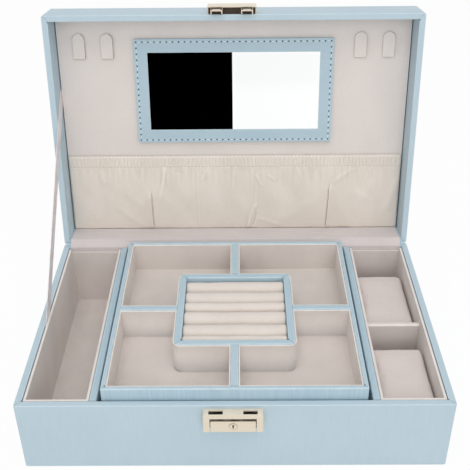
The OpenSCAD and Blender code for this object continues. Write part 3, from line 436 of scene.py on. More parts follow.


# ---- Velvet boxes of the base ----
# Card covered with short-pile velvet lines the two side compartments and the bay under the tray.
# The cloth is drawn tight over the card's upper edges, which carry a painted highlight.
CREAM = (229, 221, 216)
# Colour of the painted highlight on the velvet's rounded edges and card tops.
CREAM_HIGHLIGHT = (246, 241, 235)
LINER_EDGE_R = 0.45 * mm
TOP_BAND = 4 * mm                         # how far below a card's top its faces still belong to it
BACK_BAND = 3 * mm
FLAT_LIGHT, BACK_LIGHT = 0.5, 0.15        # share of the light that flat tops and the back one catch


def velvet(name, colour, shade, sheen=0.25):
    """Short-pile velvet: shade is how dark the brushed streaks in its nap get, from 0 to 1."""
    mat = new_finish(name, colour, 0.95, specular=0.08)
    shader = mat.node_tree.nodes["Principled BSDF"]
    shader.inputs["Sheen Weight"].default_value = sheen
    shader.inputs["Sheen Roughness"].default_value = 0.45
    dark = tuple(v * (1 - shade) for v in colour)
    tint(mat, noise_field(mat, (35, 35, 18), 3.0), dark, colour, 0.3, 0.7)
    tint(mat, noise_field(mat, 2600, 2.0), (244, 243, 242), (255, 255, 255))
    # Rounded edges marked in the layer "edge" get a painted highlight.
    pale_edges(mat, CREAM_HIGHLIGHT, 0.45, 0.9)
    relief(mat, noise_field(mat, 3200, 2.0), 0.12 * mm, 0.5)
    return mat


def soften(bm, radius, segments=3, least=40):
    """Rounds the outer edges that turn by more than least degrees and marks them as edges."""
    sharp = [e for e in bm.edges
             if e.is_manifold and e.is_convex and e.calc_face_angle() > math.radians(least)]
    made = bmesh.ops.bevel(bm, geom=sharp, offset=radius, offset_type="OFFSET", segments=segments,
                           profile=0.5, affect="EDGES", material=-1, clamp_overlap=True)
    edge = bm.faces.layers.float["edge"]
    for face in made["faces"]:
        face[edge] = 1.0


def light_rim(bm, height, back=math.inf):
    """Half lights the card tops near that height, and leaves what lies behind back almost plain."""
    edge = bm.faces.layers.float["edge"]
    for face in bm.faces:
        place = face.calc_center_median()
        if place.z > height - TOP_BAND and face.normal.z > 0.2:
            face[edge] = FLAT_LIGHT if face.normal.z > 0.9 else face[edge]
            face[edge] *= BACK_LIGHT if place.y > back else 1.0


cream_velvet = velvet("cream_velvet", CREAM, 0.05)
for node in ("left_liner", "right_liner", "bay_liner"):
    bm = copy_of(node)
    soften(bm, LINER_EDGE_R)
    if node != "bay_liner":
        light_rim(bm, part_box(node)[1].z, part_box(node)[1].y - BACK_BAND)
    add_piece(node + "_velvet", bm, cream_velvet, "base", [node])


# ---- Dividers of the base ----
# Two leather-covered boards part the bay from the sides, their upper edges rounded. The lower one
# between the watches is covered with the cream velvet.
trim_leather = leather("trim_leather", (176, 198, 208), (181, 202, 212), (55, 900, 900))
for node in ("left_divider", "right_divider"):
    add_piece(node + "_leather", copy_of(node), trim_leather, "base", [node])
add_piece("watch_divider_velvet", copy_of("watch_divider"), cream_velvet, "base",
          ["watch_divider"])


# ---- Watch pillows ----
# Foam blocks wrapped in velvet, loose in the watch compartment. The cloth skin is blown up a
# little in a short cloth simulation, and stays flat where it lies on the floor and the walls.
PILLOW_STEP = 2.5 * mm
PILLOW_SWELL = 0.9 * mm
PILLOW_GIVE = Vector((0.8, 0, 0.2)) * mm  # how far it may go past its solid on the right and above
PILLOW_SHY = Vector((-0.1, 0, 0)) * mm    # and on the left
PRESSURE = 4
FRAMES = 20
BROAD_DENT, FINE_DENT = 0.3 * mm, 0.1 * mm
DENT_SPARED = 0.1 * mm                    # dents lower than this don't show


def swollen(bm, step, cap, low, high):
    """Closed skin after some frames of pressure, no point moved further than cap or out of
    the box from low to high."""
    mesh = bpy.data.meshes.new("swelling")
    bm.to_mesh(mesh)
    bm.free()
    obj = bpy.data.objects.new("swelling", mesh)
    scene.collection.objects.link(obj)
    even = obj.modifiers.new("even", "REMESH")
    even.mode = "VOXEL"
    even.voxel_size = step
    graph = bpy.context.evaluated_depsgraph_get()
    obj.data = bpy.data.meshes.new_from_object(obj.evaluated_get(graph))
    obj.modifiers.clear()
    bm = bmesh.new()
    bm.from_mesh(obj.data)
    bm.verts.ensure_lookup_table()
    cloth = obj.modifiers.new("cloth", "CLOTH")
    cloth.settings.use_pressure = True
    cloth.settings.uniform_pressure_force = PRESSURE
    cloth.settings.effector_weights.gravity = 0
    for number in range(1, FRAMES + 1):
        scene.frame_set(number)
    blown = obj.evaluated_get(bpy.context.evaluated_depsgraph_get()).to_mesh()
    for vert in bm.verts:
        move = blown.vertices[vert.index].co - vert.co
        vert.co += move * min(1.0, cap / max(move.length, 1e-9))
    scene.frame_set(1)
    for vert in bm.verts:
        vert.co = Vector([max(low[i], min(high[i], vert.co[i])) for i in range(3)])
    bpy.data.objects.remove(obj)
    bm.normal_update()
    return bm


pillow_velvet = velvet("pillow_velvet", (226, 216, 212), 0.03, 0.3)
for node in ("pillow_rear", "pillow_front"):
    low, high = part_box(node)
    bm = swollen(copy_of(node), PILLOW_STEP, PILLOW_SWELL, low + PILLOW_SHY, high + PILLOW_GIVE)
    bmesh.ops.subdivide_edges(bm, edges=bm.edges, cuts=1, use_grid_fill=True, smooth=1.0)
    for vert in bm.verts:
        dent = noise.noise(vert.co * 90) * BROAD_DENT + noise.noise(vert.co * 260) * FINE_DENT
        vert.co += vert.normal * min(0, dent - DENT_SPARED)
    bm.faces.layers.float.new("edge")
    pillow = add_piece(node + "_cover", bm, pillow_velvet, node, [node], 80)


# ---- Lock ----
# Pale gold plated steel: a pressed case with two slots for the catches, and a press plate with
# a key barrel that turns on a pin inside. The hooks, springs and plate behind are bare steel.
# The inside of the slots and the keyhole is painted in dark shade, the press plate's bent top edge in brown
# shade.
GOLD = (230, 218, 197)
GOLD_GLINT = (255, 240, 222)
SHADE_SLOT, GAP_SHADE_SLOT = 1, 2              # places of the two painted shade finishes in a plated part's list
CASE_SKIN, BARREL_SKIN = 0.9 * mm, 0.25 * mm
# Share of the painted highlight on the case's flat top, as lit from above.
TOP_LIGHT = 0.6
PLATE_BEND = 0.9 * mm                     # how far the press plate's upper edge is bent back
PLATE_BEND_FROM = 1.5 * mm


def plated(name, colour, roughness, metallic):
    """Plated sheet metal, brushed along x."""
    mat = new_finish(name, colour, roughness, metallic=metallic)
    brush = noise_field(mat, (60, 2500, 2500), 3.0)
    tint(mat, brush, tuple(v * 0.96 for v in colour), colour, 0.3, 0.7)
    uneven_gloss(mat, brush, roughness - 0.06, roughness + 0.08)
    relief(mat, brush, 0.02 * mm, 0.3)
    return mat


def faded(value, start, stop):
    """0 before start, 1 after stop, and a smooth rise in between."""
    t = max(0.0, min(1.0, (value - start) / (stop - start)))
    return t * t * (3 - 2 * t)


def darken_inside(bm, skin):
    """Darkens the faces that lie deeper than skin behind the front, the top and both sides: painted shade
    inside slots, keyhole and case.
    """
    left, right = min(v.co.x for v in bm.verts) + skin, max(v.co.x for v in bm.verts) - skin
    front, top = min(v.co.y for v in bm.verts) + skin, max(v.co.z for v in bm.verts) - skin
    for face in bm.faces:
        place = face.calc_center_median()
        if left < place.x < right and place.y > front and place.z < top:
            face.material_index = SHADE_SLOT


pale_gold = plated("pale_gold", GOLD, 0.34, 0.45)
# Rounded edges of the plating get a painted glint.
pale_edges(pale_gold, GOLD_GLINT, 0.5, 0.9)
bare_steel = plated("bare_steel", (150, 146, 140), 0.45, 0.9)
# Dark brown for the hasp's core, also painted shade inside the lock's slots and keyhole and on the catches'
# punched side.
dark_core = new_finish("dark_core", (62, 52, 45), 0.7, specular=0.3)
tint(dark_core, noise_field(dark_core, 700), (50, 41, 35), (74, 62, 54))
relief(dark_core, noise_field(dark_core, 2000), 0.05 * mm)
# Lighter brown: painted shade on the press plate's bent top edge, in the gap above it.
gap_shade_brown = new_finish("gap_shade_brown", (128, 112, 104), 0.6, specular=0.3)
tint(gap_shade_brown, noise_field(gap_shade_brown, (300, 900, 900)), (112, 97, 90), (146, 130, 121))
for node, body, radius, skin in (("lock_case", "base", 0.35, CASE_SKIN),
                                 ("press_plate", "lock_button", 0.3, CASE_SKIN),
                                 ("key_barrel", "key", 0.3, BARREL_SKIN)):
    bm = copy_of(node)
    soften(bm, radius * mm, 2)
    darken_inside(bm, skin)
    if node == "lock_case":
        edge = bm.faces.layers.float["edge"]
        for face in bm.faces:                 # its top is painted brighter than its front, a highlight as lit from above
            face[edge] = TOP_LIGHT if face.normal.z > 0.9 else face[edge]
    if node == "press_plate":
        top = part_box(node)[1].z
        for vert in bm.verts:
            vert.co.z -= PLATE_BEND * faded(vert.co.z, top - PLATE_BEND_FROM, top)
        for face in bm.faces:                 # the bent edge is painted brown, as shade in the gap above it
            if face.normal.z > 0.6:
                face.material_index = GAP_SHADE_SLOT
    piece = add_piece(node + "_plated", bm, pale_gold, body, [node])
    piece.data.materials.append(dark_core)
    piece.data.materials.append(gap_shade_brown)
dress(bare_steel, "lock_back_plate", "lock_spring", "lock_pivot_pin", "press_hooks")
dress(pale_gold, "lock_screws")

# A half-round rim is pressed up round the barrel's hole in the press plate.
KEY_RIM_R = 2.95 * mm
KEY_RIM_T = 0.6 * mm
barrel_low, barrel_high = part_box("key_barrel")
plate_low, plate_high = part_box("press_plate")
hole = Vector(((plate_low.x + plate_high.x) / 2, plate_low.y, (barrel_low.z + barrel_high.z) / 2))
bm = bmesh.new()
bmesh.ops.create_circle(bm, segments=10, radius=KEY_RIM_T / 2, matrix=(
    Matrix.Translation((0, 0, KEY_RIM_R)) @ Matrix.Rotation(-math.pi / 2, 4, "Y")))
bmesh.ops.spin(bm, geom=bm.edges[:], cent=(0, 0, 0), axis=(0, 1, 0), angle=2 * math.pi, steps=40,
               use_merge=True)
bmesh.ops.remove_doubles(bm, verts=bm.verts, dist=0.001 * mm)
bmesh.ops.translate(bm, verts=bm.verts, vec=hole)
bmesh.ops.recalc_face_normals(bm, faces=bm.faces)
add_piece("keyhole_rim", bm, pale_gold, "lock_button")


# ---- Hinge ----
# The hinge is a strip of the same leather glued to both back walls. Inside, a band of velvet
# runs from behind the cards over the rim and up the lid's back wall, and hides the joint.
lid_joint = next(j for j in frame["joints"] if j["name"] == "lid_hinge")
LID_ANGLE = -math.radians(lid_joint["range_deg"][0])
HINGE = Vector(lid_joint["pos_m"])
RIM_Z = HINGE.z
open_lid = (Matrix.Translation(HINGE) @ Matrix.Rotation(-LID_ANGLE, 4, "X")
            @ Matrix.Translation(-HINGE))
shut_lid = open_lid.inverted()
STRIP_BEND = 1.0 * mm                     # how far from the hinge the leather strip still bends
LINING_T = 0.5 * mm
LINING_SIDE = 0.4 * mm                    # what is left free at each side
LINING_BEND = 6 * mm
OVER_RIM = 0.2 * mm                       # how far it lies over the base's rim and into the panel
LID_IN, LID_DOWN = 0.35 * mm, 0.1 * mm    # where it passes on to the lid, from the lid's inner edge
RIDGE_PITCH = 4.3 * mm
RIDGE_HEIGHT = 0.28 * mm
WAVE_HEIGHT = 0.12 * mm

bm = copy_of("hinge_strip")
soften(bm, 0.25 * mm, 2)
strip = add_piece("hinge_strip_leather", bm, base_leather, None, ["hinge_strip"])
across_bend = (Vector((0, 0, 1)) + open_lid.to_3x3() @ Vector((0, 0, 1))).normalized() * STRIP_BEND
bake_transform(strip, "base", "lid", HINGE - across_bend, HINGE + across_bend)


def lying_box(node):
    """Lowest and highest corner of a lid part as it lies when the lid is shut."""
    places = [shut_lid @ v.co for v in frame["nodes"][node].data.vertices]
    return (Vector([min(p[i] for p in places) for i in range(3)]),
            Vector([max(p[i] for p in places) for i in range(3)]))


panel_low = lying_box("lid_panel")[0]
lining_low, lining_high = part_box("hinge_lining")
inside_y = rim_high.y - WALL
lining_path = [Vector((0, inside_y - LINING_T / 2, lining_low.z)),
               Vector((0, inside_y - LINING_T / 2, RIM_Z + OVER_RIM)),
               open_lid @ Vector((0, inside_y - LID_IN, RIM_Z - LID_DOWN)),
               open_lid @ Vector((0, inside_y - LINING_T / 2, panel_low.z - OVER_RIM))]
lengths = [(b - a).length for a, b in zip(lining_path, lining_path[1:])]
LINING_LENGTH = sum(lengths)


def along_path(path, distance):
    """Point at that distance along a path, and the direction of the path there."""
    for a, b in zip(path, path[1:]):
        step = (b - a).length
        if distance <= step or b is path[-1]:
            return a.lerp(b, min(1.0, distance / step)), (b - a).normalized()
        distance -= step


hinge_velvet = velvet("hinge_velvet", (219, 210, 208), 0.03)
bm = bmesh.new()
bmesh.ops.create_grid(bm, x_segments=70, y_segments=60, size=0.5)
for vert in bm.verts:
    t = (vert.co.y + 0.5) * LINING_LENGTH
    point, way = along_path(lining_path, t)
    normal = Vector((0, -way.z, way.y))
    x = vert.co.x * 2 * (lining_high.x - LINING_SIDE)
    turns = t / RIDGE_PITCH + 0.25 * noise.noise(Vector((x * 8, 0, t * 40)))
    ridge = (1 + math.sin(2 * math.pi * turns)) / 2
    wave = noise.noise(Vector((x * 25, t * 60, 3.0))) * WAVE_HEIGHT
    shown = faded(t, lengths[0] + 0.5 * mm, lengths[0] + 3 * mm)
    shown *= 1 - faded(t, LINING_LENGTH - 2 * mm, LINING_LENGTH)
    vert.co = point + normal * (ridge * RIDGE_HEIGHT + wave) * shown + Vector((x, 0, 0))
bm.normal_update()
bmesh.ops.solidify(bm, geom=bm.faces[:], thickness=LINING_T)
bmesh.ops.recalc_face_normals(bm, faces=bm.faces)
lining = add_piece("hinge_lining_velvet", bm, hinge_velvet, None, ["hinge_lining"], 60)
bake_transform(lining, "base", "lid", (0, inside_y, RIM_Z - 1 * mm),
         (0, inside_y + LINING_BEND, RIM_Z + LINING_BEND))


# ---- Ribbon stay ----
# One woven satin ribbon holds the open lid on the left. It comes out of the slot beside the
# velvet card and goes in beside the lid's lining panel, tight when the lid is open.
ribbon_low, ribbon_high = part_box("stay_ribbon")
RIBBON_W = 10 * mm
RIBBON_T = 0.4 * mm
RIBBON_HELD = 12 * mm                     # length at each end that stays with its slot
ribbon_satin = new_finish("ribbon_satin", (226, 219, 221), 0.42, specular=0.4)
ribbon_satin.node_tree.nodes["Principled BSDF"].inputs["Sheen Weight"].default_value = 0.2
tint(ribbon_satin, noise_field(ribbon_satin, (2000, 120, 120), 2.0), (214, 206, 208), (232, 226, 227))
relief(ribbon_satin, noise_field(ribbon_satin, (100, 2600, 2600), 1.0), 0.05 * mm, 0.4)
span = ribbon_high - ribbon_low
slope = math.atan2(span.z, span.y)
for _ in range(4):                        # the ribbon's own width takes a part of its box
    slope = math.atan2(span.z - RIBBON_W * math.cos(slope), span.y - RIBBON_W * math.sin(slope))
corner = Vector((0, math.sin(slope), math.cos(slope))) * RIBBON_W / 2
centre_x = Vector(((ribbon_low.x + ribbon_high.x) / 2, 0, 0))
ribbon_start = centre_x + Vector((0, ribbon_low.y, ribbon_low.z)) + corner
ribbon_end = centre_x + Vector((0, ribbon_high.y, ribbon_high.z)) - corner
along = (ribbon_end - ribbon_start).normalized()
bm = bmesh.new()
bmesh.ops.create_grid(bm, x_segments=4, y_segments=90, size=0.5)
for vert in bm.verts:
    place = ribbon_start.lerp(ribbon_end, vert.co.y + 0.5)
    vert.co = place + Vector((0, -along.z, along.y)) * vert.co.x * RIBBON_W
bm.normal_update()
bmesh.ops.solidify(bm, geom=bm.faces[:], thickness=RIBBON_T)
bmesh.ops.recalc_face_normals(bm, faces=bm.faces)
middle_x = sum(v.co.x for v in bm.verts) / len(bm.verts)
bmesh.ops.translate(bm, verts=bm.verts, vec=(centre_x.x - middle_x, 0, 0))
ribbon = add_piece("stay_ribbon_satin", bm, ribbon_satin, None, ["stay_ribbon"])
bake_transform(ribbon, "base", "lid", ribbon_start + along * RIBBON_HELD, ribbon_end - along * RIBBON_HELD)


# ---- Leather of the lid ----
# The same leather, glued over the lid's top and walls, round the rim and down to the panel. Its
# folds lie a little aside, so that they clear those of the base when the lid is shut.
LID_FOLD_ASIDE = 0.8 * mm
lid_leather = leather("lid_leather", LEATHER_DEEP, LEATHER, (900, 900, 55), LID_ANGLE)
add_piece("lid_leather_skin", copy_of("lid_leather", shut_lid), lid_leather, "lid",
          ["lid_leather"])
lid_low, lid_high = lying_box("lid_leather")
bm = bmesh.new()
corner_folds(bm, Vector((0, 0, lid_low.z)), lid_high.x, lid_high.y,
             WALL - 2 * FOLD_INSET - LID_FOLD_ASIDE, LID_FOLD_ASIDE)
bmesh.ops.transform(bm, verts=bm.verts, matrix=open_lid)
add_piece("lid_corner_folds", bm, leather_fold_shade, "lid")


# ---- Lid lining ----
# A foam sheet and, over it, a card panel covered with cream velvet fill the lid. The panel is
# pressed in between the walls.
foam = new_finish("foam", (222, 219, 210), 0.95, specular=0.1)
tint(foam, cell_field(foam, 1200), (205, 201, 190), (230, 227, 219))
relief(foam, cell_field(foam, 1200), 0.2 * mm)
dress(foam, "lid_padding")
panel_velvet = velvet("panel_velvet", (231, 223, 218), 0.02, 0.15)
bm = copy_of("lid_panel", shut_lid)
soften(bm, 0.6 * mm)
add_piece("lid_panel_velvet", bm, panel_velvet, "lid", ["lid_panel"])


# ---- Mirror ----
# Glass set behind a leather frame. The frame is stitched all round, 2 mm in from its edge, with
# a pale thread whose holes are dark discs of painted shade.
STITCH_PITCH = 4.72 * mm
STITCH_LENGTH = 2.7 * mm
STITCH_INSET = 2.2 * mm
HOLE_R = 0.72 * mm
HOLE_T = 0.14 * mm                        # thickness of the dark disc of painted shade that stands for a hole
THREAD_T = 0.65 * mm

bm = copy_of("mirror_frame", shut_lid)
soften(bm, 0.6 * mm)
add_piece("mirror_frame_leather", bm, trim_leather, "lid", ["mirror_frame"])

silvered = new_finish("silvered_glass", (252, 253, 253), 0.0, metallic=1.0)
tint(silvered, noise_field(silvered, 8, 1.0), (250, 252, 252), (254, 255, 255))
bm = copy_of("mirror_glass", shut_lid)
soften(bm, 0.25 * mm, 2)
add_piece("mirror_glass_pane", bm, silvered, "lid", ["mirror_glass"])

thread = new_finish("pale_thread", (224, 235, 240), 0.6, specular=0.3)
tint(thread, noise_field(thread, 1500), (213, 226, 233), (232, 241, 245))
# Dark discs of painted shade stand for the needle holes.
needle_hole_shade = new_finish("needle_hole_shade", (58, 76, 88), 0.8, specular=0.1)
tint(needle_hole_shade, noise_field(needle_hole_shade, 1500), (48, 64, 75), (70, 90, 102))


def stitch(bm, start, end, up):
    """One stitch: a short round thread that dips into the leather at both ends."""
    way = (end - start).normalized()
    turn = Matrix((way, up.cross(way), up)).transposed().to_4x4()
    made = bmesh.ops.create_icosphere(bm, subdivisions=1, radius=0.5)["verts"]
    bmesh.ops.transform(bm, verts=made, matrix=(
        Matrix.Translation((start + end) / 2) @ turn
        @ Matrix.Diagonal(((end - start).length, THREAD_T, THREAD_T * 0.7, 1))))


def stitched_line(bm, holes, start, end, up):
    """Row of stitches from start to end, with a needle hole, a dark disc of painted shade, between each two.
    """
    count = round((end - start).length / STITCH_PITCH)
    step = (end - start) / count
    way = step.normalized()
    turn = up.to_track_quat("Z", "X").to_matrix().to_4x4()
    for i in range(count):
        middle = start + step * (i + 0.5)
        stitch(bm, middle - way * STITCH_LENGTH / 2, middle + way * STITCH_LENGTH / 2, up)
        dot = bmesh.ops.create_cone(holes, cap_ends=True, segments=8, radius1=HOLE_R,
                                    radius2=HOLE_R * 0.8, depth=HOLE_T)["verts"]
        bmesh.ops.transform(holes, verts=dot, matrix=Matrix.Translation(start + step * i) @ turn)


frame_low, frame_high = lying_box("mirror_frame")
down = Vector((0, 0, -1))                 # the lining's outer side when the lid is shut
left, right = frame_low.x + STITCH_INSET, frame_high.x - STITCH_INSET
front, back = frame_low.y + STITCH_INSET, frame_high.y - STITCH_INSET
loop = [Vector((x, y, frame_low.z))
        for x, y in ((left, front), (right, front), (right, back), (left, back))]
bm, holes = bmesh.new(), bmesh.new()
for a, b in zip(loop, loop[1:] + loop[:1]):
    stitched_line(bm, holes, a, b, down)
for made in (bm, holes):
    bmesh.ops.transform(made, verts=made.verts, matrix=open_lid)
add_piece("mirror_stitches", bm, thread, "lid")
add_piece("mirror_stitch_holes", holes, needle_hole_shade, "lid")


# ---- Necklace tabs ----
# Four tongues of doubled velvet, sewn down at the lower end and free at the round upper one.
# They lie almost flat; the rolled edge has painted shade low and right and a painted highlight elsewhere.
TAB_FLATNESS = 0.55
TAB_EDGE = 0.6 * mm
TAB_SHADE, TAB_PLAIN = 0.1, 0.6           # values of "fold" on the edge painted in shade and elsewhere

tab_velvet = velvet("tab_velvet", (231, 223, 218), 0.02, 0.15)
# Painted shade from the layer "fold" on the rolled edge's lower and right side.
tint(tab_velvet, marked(tab_velvet, "fold"), (176, 166, 160), (255, 255, 255), 0.1, 0.5)
bm = copy_of("necklace_tabs", shut_lid)
bmesh.ops.transform(bm, verts=bm.verts, matrix=shut_lid)
for vert in bm.verts:
    vert.co.z = panel_low.z + (vert.co.z - panel_low.z) * TAB_FLATNESS
soften(bm, TAB_EDGE)
edge = bm.faces.layers.float["edge"]
fold = bm.faces.layers.float.new("fold")
# The rolled edge gets a painted highlight above and left, and painted shade below and right.
for face in bm.faces:
    rolled = face.normal.z > -0.95
    shaded = face.normal.x > 0.3 or face.normal.y > 0.5
    face[edge] = 0.5 if rolled and not shaded else 0.0
    face[fold] = TAB_SHADE if rolled and shaded else TAB_PLAIN
bmesh.ops.transform(bm, verts=bm.verts, matrix=open_lid)
tabs = add_piece("necklace_tabs_velvet", bm, tab_velvet, "lid", ["necklace_tabs"])


# ---- Pocket ----
# A soft suede cloth, gathered on an elastic in a stitched casing along its top. It is sewn to
# the panel at the sides and bottom, hangs in soft folds and is pleated twice. Its hollows are
# painted in shade and its ridges painted light.
pocket_suede = new_finish("pocket_suede", (236, 226, 215), 0.9, specular=0.1)
pocket_suede.node_tree.nodes["Principled BSDF"].inputs["Sheen Weight"].default_value = 0.2
tint(pocket_suede, noise_field(pocket_suede, (45, 45, 25), 3.0), (234, 227, 219), (240, 233, 226))
# Painted shade in the hollows of the folds and a painted highlight on their ridges, from "fold".
tint(pocket_suede, marked(pocket_suede, "fold"), (206, 186, 164), (255, 255, 254), 0.0, 0.62)
tint(pocket_suede, noise_field(pocket_suede, 2200, 2.0), (246, 245, 244), (255, 255, 255))
relief(pocket_suede, noise_field(pocket_suede, 2800, 2.0), 0.10 * mm, 0.5)
POCKET_HALF = 136.0                       # millimetres, as every length in this section
POCKET_LOW, POCKET_TOP = 5.6, 70.5        # up from the hinge
CASING_LOW = 60.2
CASING_STAND, CLOTH_STAND = 1.15, 0.85    # how far the cloth stands off the panel at the least
BELLY = 2.2                               # and how much further in the middle
SEAM_DIP = 0.45
CLOTH_T = 0.5
FOLD_SHADE = 2.2
PLEAT_REACH = 8.0                         # width beside a pleat where the mesh is finer
SEAM_INSET = 0.9
CASING_STITCHES = 92
CASING_STITCH_HALF = 0.7
# Pleats: place at the foot, lean, upper end, and 1 where the cloth on the left laps over, else -1.
PLEATS = ((-69.6, -0.027, 42.0, 1), (77.2, 0.046, 47.5, -1))
LAP_H, LAP_W = 1.9, 2.6                   # the lap, the cloth beside it and the groove between
BESIDE_H, BESIDE_W = 0.5, 4.0
GROOVE_D, GROOVE_W = 1.8, 0.9
PLEAT_FADE = 9
# Folds, each from (x, up) to (x, up) with its height and its width.
FOLDS = ((-58, 59, -60, 45, 0.5, 1.3), (-60, 46, -63, 34, 0.35, 1.8), (-30.5, 60, -30.5, 11, 0.13, 0.8),
         (-101, 27, -76, 8, 0.35, 3.0), (-92, 39, -76, 27, 0.25, 3.0), (81, 47, 96, 58, 0.5, 2.2),
         (11, 6, 13, 17, 0.9, 1.3), (13, 17, 17, 28, 0.6, 1.6), (15, 8, 18, 20, -0.7, 1.1),
         (17.6, 54, 22.6, 43.5, 0.45, 1.4), (17.6, 53, 17.6, 22, 0.12, 0.8), (52, 60, 56, 50, 0.3, 1.5),
         (-23.4, 58, -27.5, 49, 0.3, 1.4), (-112, 58, -108, 46, 0.3, 1.6), (112, 59, 107, 48, 0.3, 1.5),
         (135, 50, 126, 21, 1.0, 4.0), (100, 22, 118, 52, 0.5, 5.0),
         (-118, 14, -104, 40, 0.5, 4.5), (40, 14, 62, 30, 0.4, 4.0), (-48, 20, -34, 40, 0.4, 3.5),
         (-1, 58, -1.5, 40, 0.3, 1.6), (27, 54, 34, 49, 0.4, 1.3), (-50, 57, -43, 56, -0.3, 1.4),
         (20, 15, 38, 9, 0.45, 2.0), (100, 40, 116, 30, 0.4, 3.0))


def bump_at(x, place, width):
    """Smooth hump of height 1 at a place."""
    return math.exp(-((x - place) / width) ** 2)


def ripples(x, w, height, fine_x, fine_w, layer):
    """Uneven cloth: height of the ripples, and how many there are along x and w."""
    return height * noise.noise(Vector((x * fine_x, w * fine_w, layer)))


def fold_height(x, s, x0, s0, x1, s1, height, width):
    """A fold's share of the cloth's depth at (x, s): a hump along its line, faded at its ends."""
    run_x, run_s = x1 - x0, s1 - s0
    t = ((x - x0) * run_x + (s - s0) * run_s) / (run_x ** 2 + run_s ** 2)
    off = math.hypot(x - x0 - t * run_x, s - s0 - t * run_s)
    return height * bump_at(off, 0, width) * faded(t, -0.12, 0.15) * (1 - faded(t, 0.8, 1.15))


def pleat_height(x, s, foot, lean, top, side):
    """The cloth laps over from one side, with a groove along the lap."""
    d = side * (x - foot - lean * (s - POCKET_LOW))
    if d < 0:
        lap = LAP_H * math.exp(d / LAP_W)
    else:
        lap = BESIDE_H * math.exp(-d / BESIDE_W) - GROOVE_D * math.exp(-d / GROOVE_W)
    return lap * (1 - faded(s, top - PLEAT_FADE, top))


def pocket_depth(x, s):
    """How far the cloth stands off the panel at x across and s up from the hinge."""
    if s > CASING_LOW:
        w = (s - CASING_LOW) / (POCKET_TOP - CASING_LOW)
        pucker = 0.05 * math.sin(x * 2.05 + 1.1 * math.sin(x * 0.31) + 2.2 * math.sin(x * 0.083))
        pucker += ripples(x, w, 0.24, 0.6, 1.6, 7.0)
        seams = bump_at(w, 0.04, 0.07) + bump_at(w, 0.96, 0.07)
        return CASING_STAND + pucker * math.sin(math.pi * w) - SEAM_DIP * seams
    w = max(0.0, (s - POCKET_LOW) / (CASING_LOW - POCKET_LOW))
    inward = max(0.0, 1 - abs(x / POCKET_HALF) ** 14)
    arch = math.sin(math.pi * w)
    belly = BELLY * math.sin(math.pi * w ** 0.7) * inward ** 0.5
    gathers = ripples(x, w, 0.5, 0.26, 2.5, 1.0) * faded(w, 0.6, 0.95)
    gathers += ripples(x, w, 0.12, 0.7, 6.0, 2.0) * faded(w, 0.8, 1.0)
    broad = ripples(x, w, 0.7, 0.045, 1.6, 5.0) * arch
    slant = 0.8 * noise.noise(Vector((x * 0.07 + w * 2.2, w * 2.4 - x * 0.02, 9.0))) * arch
    folds = sum(fold_height(x, s, *fold) for fold in FOLDS) * faded(w, 0.0, 0.06)
    pleats = sum(pleat_height(x, s, *pleat) for pleat in PLEATS) * faded(w, 0.0, 0.05)
    return CLOTH_STAND + max(0.0, belly + (gathers + broad + slant) * inward + folds + pleats)


bm = bmesh.new()
bmesh.ops.create_grid(bm, x_segments=420, y_segments=100, size=0.5)
fold = bm.verts.layers.float.new("fold")
depths = {}
for vert in bm.verts:
    x = vert.co.x * 2 * POCKET_HALF
    s = POCKET_LOW + (vert.co.y + 0.5) * (POCKET_TOP - POCKET_LOW)
    for pleat in PLEATS:                  # finer steps beside the pleats
        x -= 0.7 * (x - pleat[0]) * bump_at(x, pleat[0], PLEAT_REACH)
    ruffle = 0.22 * math.sin(x * 2.05 + 1.1 * math.sin(x * 0.31)) * faded(s, CASING_LOW, POCKET_TOP)
    hem = 0.5 * noise.noise(Vector((x * 0.06, 4.0, 0.0))) * (1 - faded(s, POCKET_LOW, POCKET_LOW + 5))
    depths[vert] = pocket_depth(x, s)
    vert.co = Vector((x * mm, HINGE.y - (s + ruffle + hem) * mm, panel_low.z - depths[vert] * mm))
for vert, depth in depths.items():        # 0 in a sharp hollow, 0.5 where flat, 1 on a sharp ridge: painted shade to painted light
    around = sum(depths[e.other_vert(vert)] for e in vert.link_edges) / len(vert.link_edges)
    vert[fold] = max(0.0, min(1.0, 0.5 + (depth - around) * FOLD_SHADE))
bm.normal_update()
bmesh.ops.solidify(bm, geom=bm.faces[:], thickness=-CLOTH_T * mm)
bmesh.ops.recalc_face_normals(bm, faces=bm.faces)
bmesh.ops.transform(bm, verts=bm.verts, matrix=open_lid)
pocket = add_piece("pocket_suede_cloth", bm, pocket_suede, "lid", ["pocket_cloth"], 80)

elastic_knit = new_finish("elastic_knit", (214, 205, 196), 0.9, specular=0.1)
tint(elastic_knit, noise_field(elastic_knit, (1800, 200, 200), 1.0), (200, 191, 182), (222, 214, 205))
relief(elastic_knit, noise_field(elastic_knit, (1800, 200, 200), 1.0), 0.1 * mm)
dress(elastic_knit, "pocket_elastic")

cream_thread = new_finish("cream_thread", (252, 248, 242), 0.7, specular=0.2)
tint(cream_thread, noise_field(cream_thread, 1500), (247, 242, 235), (254, 251, 246))
bm = bmesh.new()
half_stitch = Vector((CASING_STITCH_HALF * mm, 0, 0))
for s in (POCKET_TOP - SEAM_INSET, CASING_LOW + SEAM_INSET):
    for i in range(CASING_STITCHES):
        x = (2 * (i + 0.5) / CASING_STITCHES - 1) * (POCKET_HALF - 1)
        place = Vector((x * mm, HINGE.y - s * mm, panel_low.z - (pocket_depth(x, s) + CLOTH_T) * mm))
        stitch(bm, place - half_stitch, place + half_stitch, down)
bmesh.ops.transform(bm, verts=bm.verts, matrix=open_lid)
casing_stitches = add_piece("casing_stitches", bm, cream_thread, "lid")


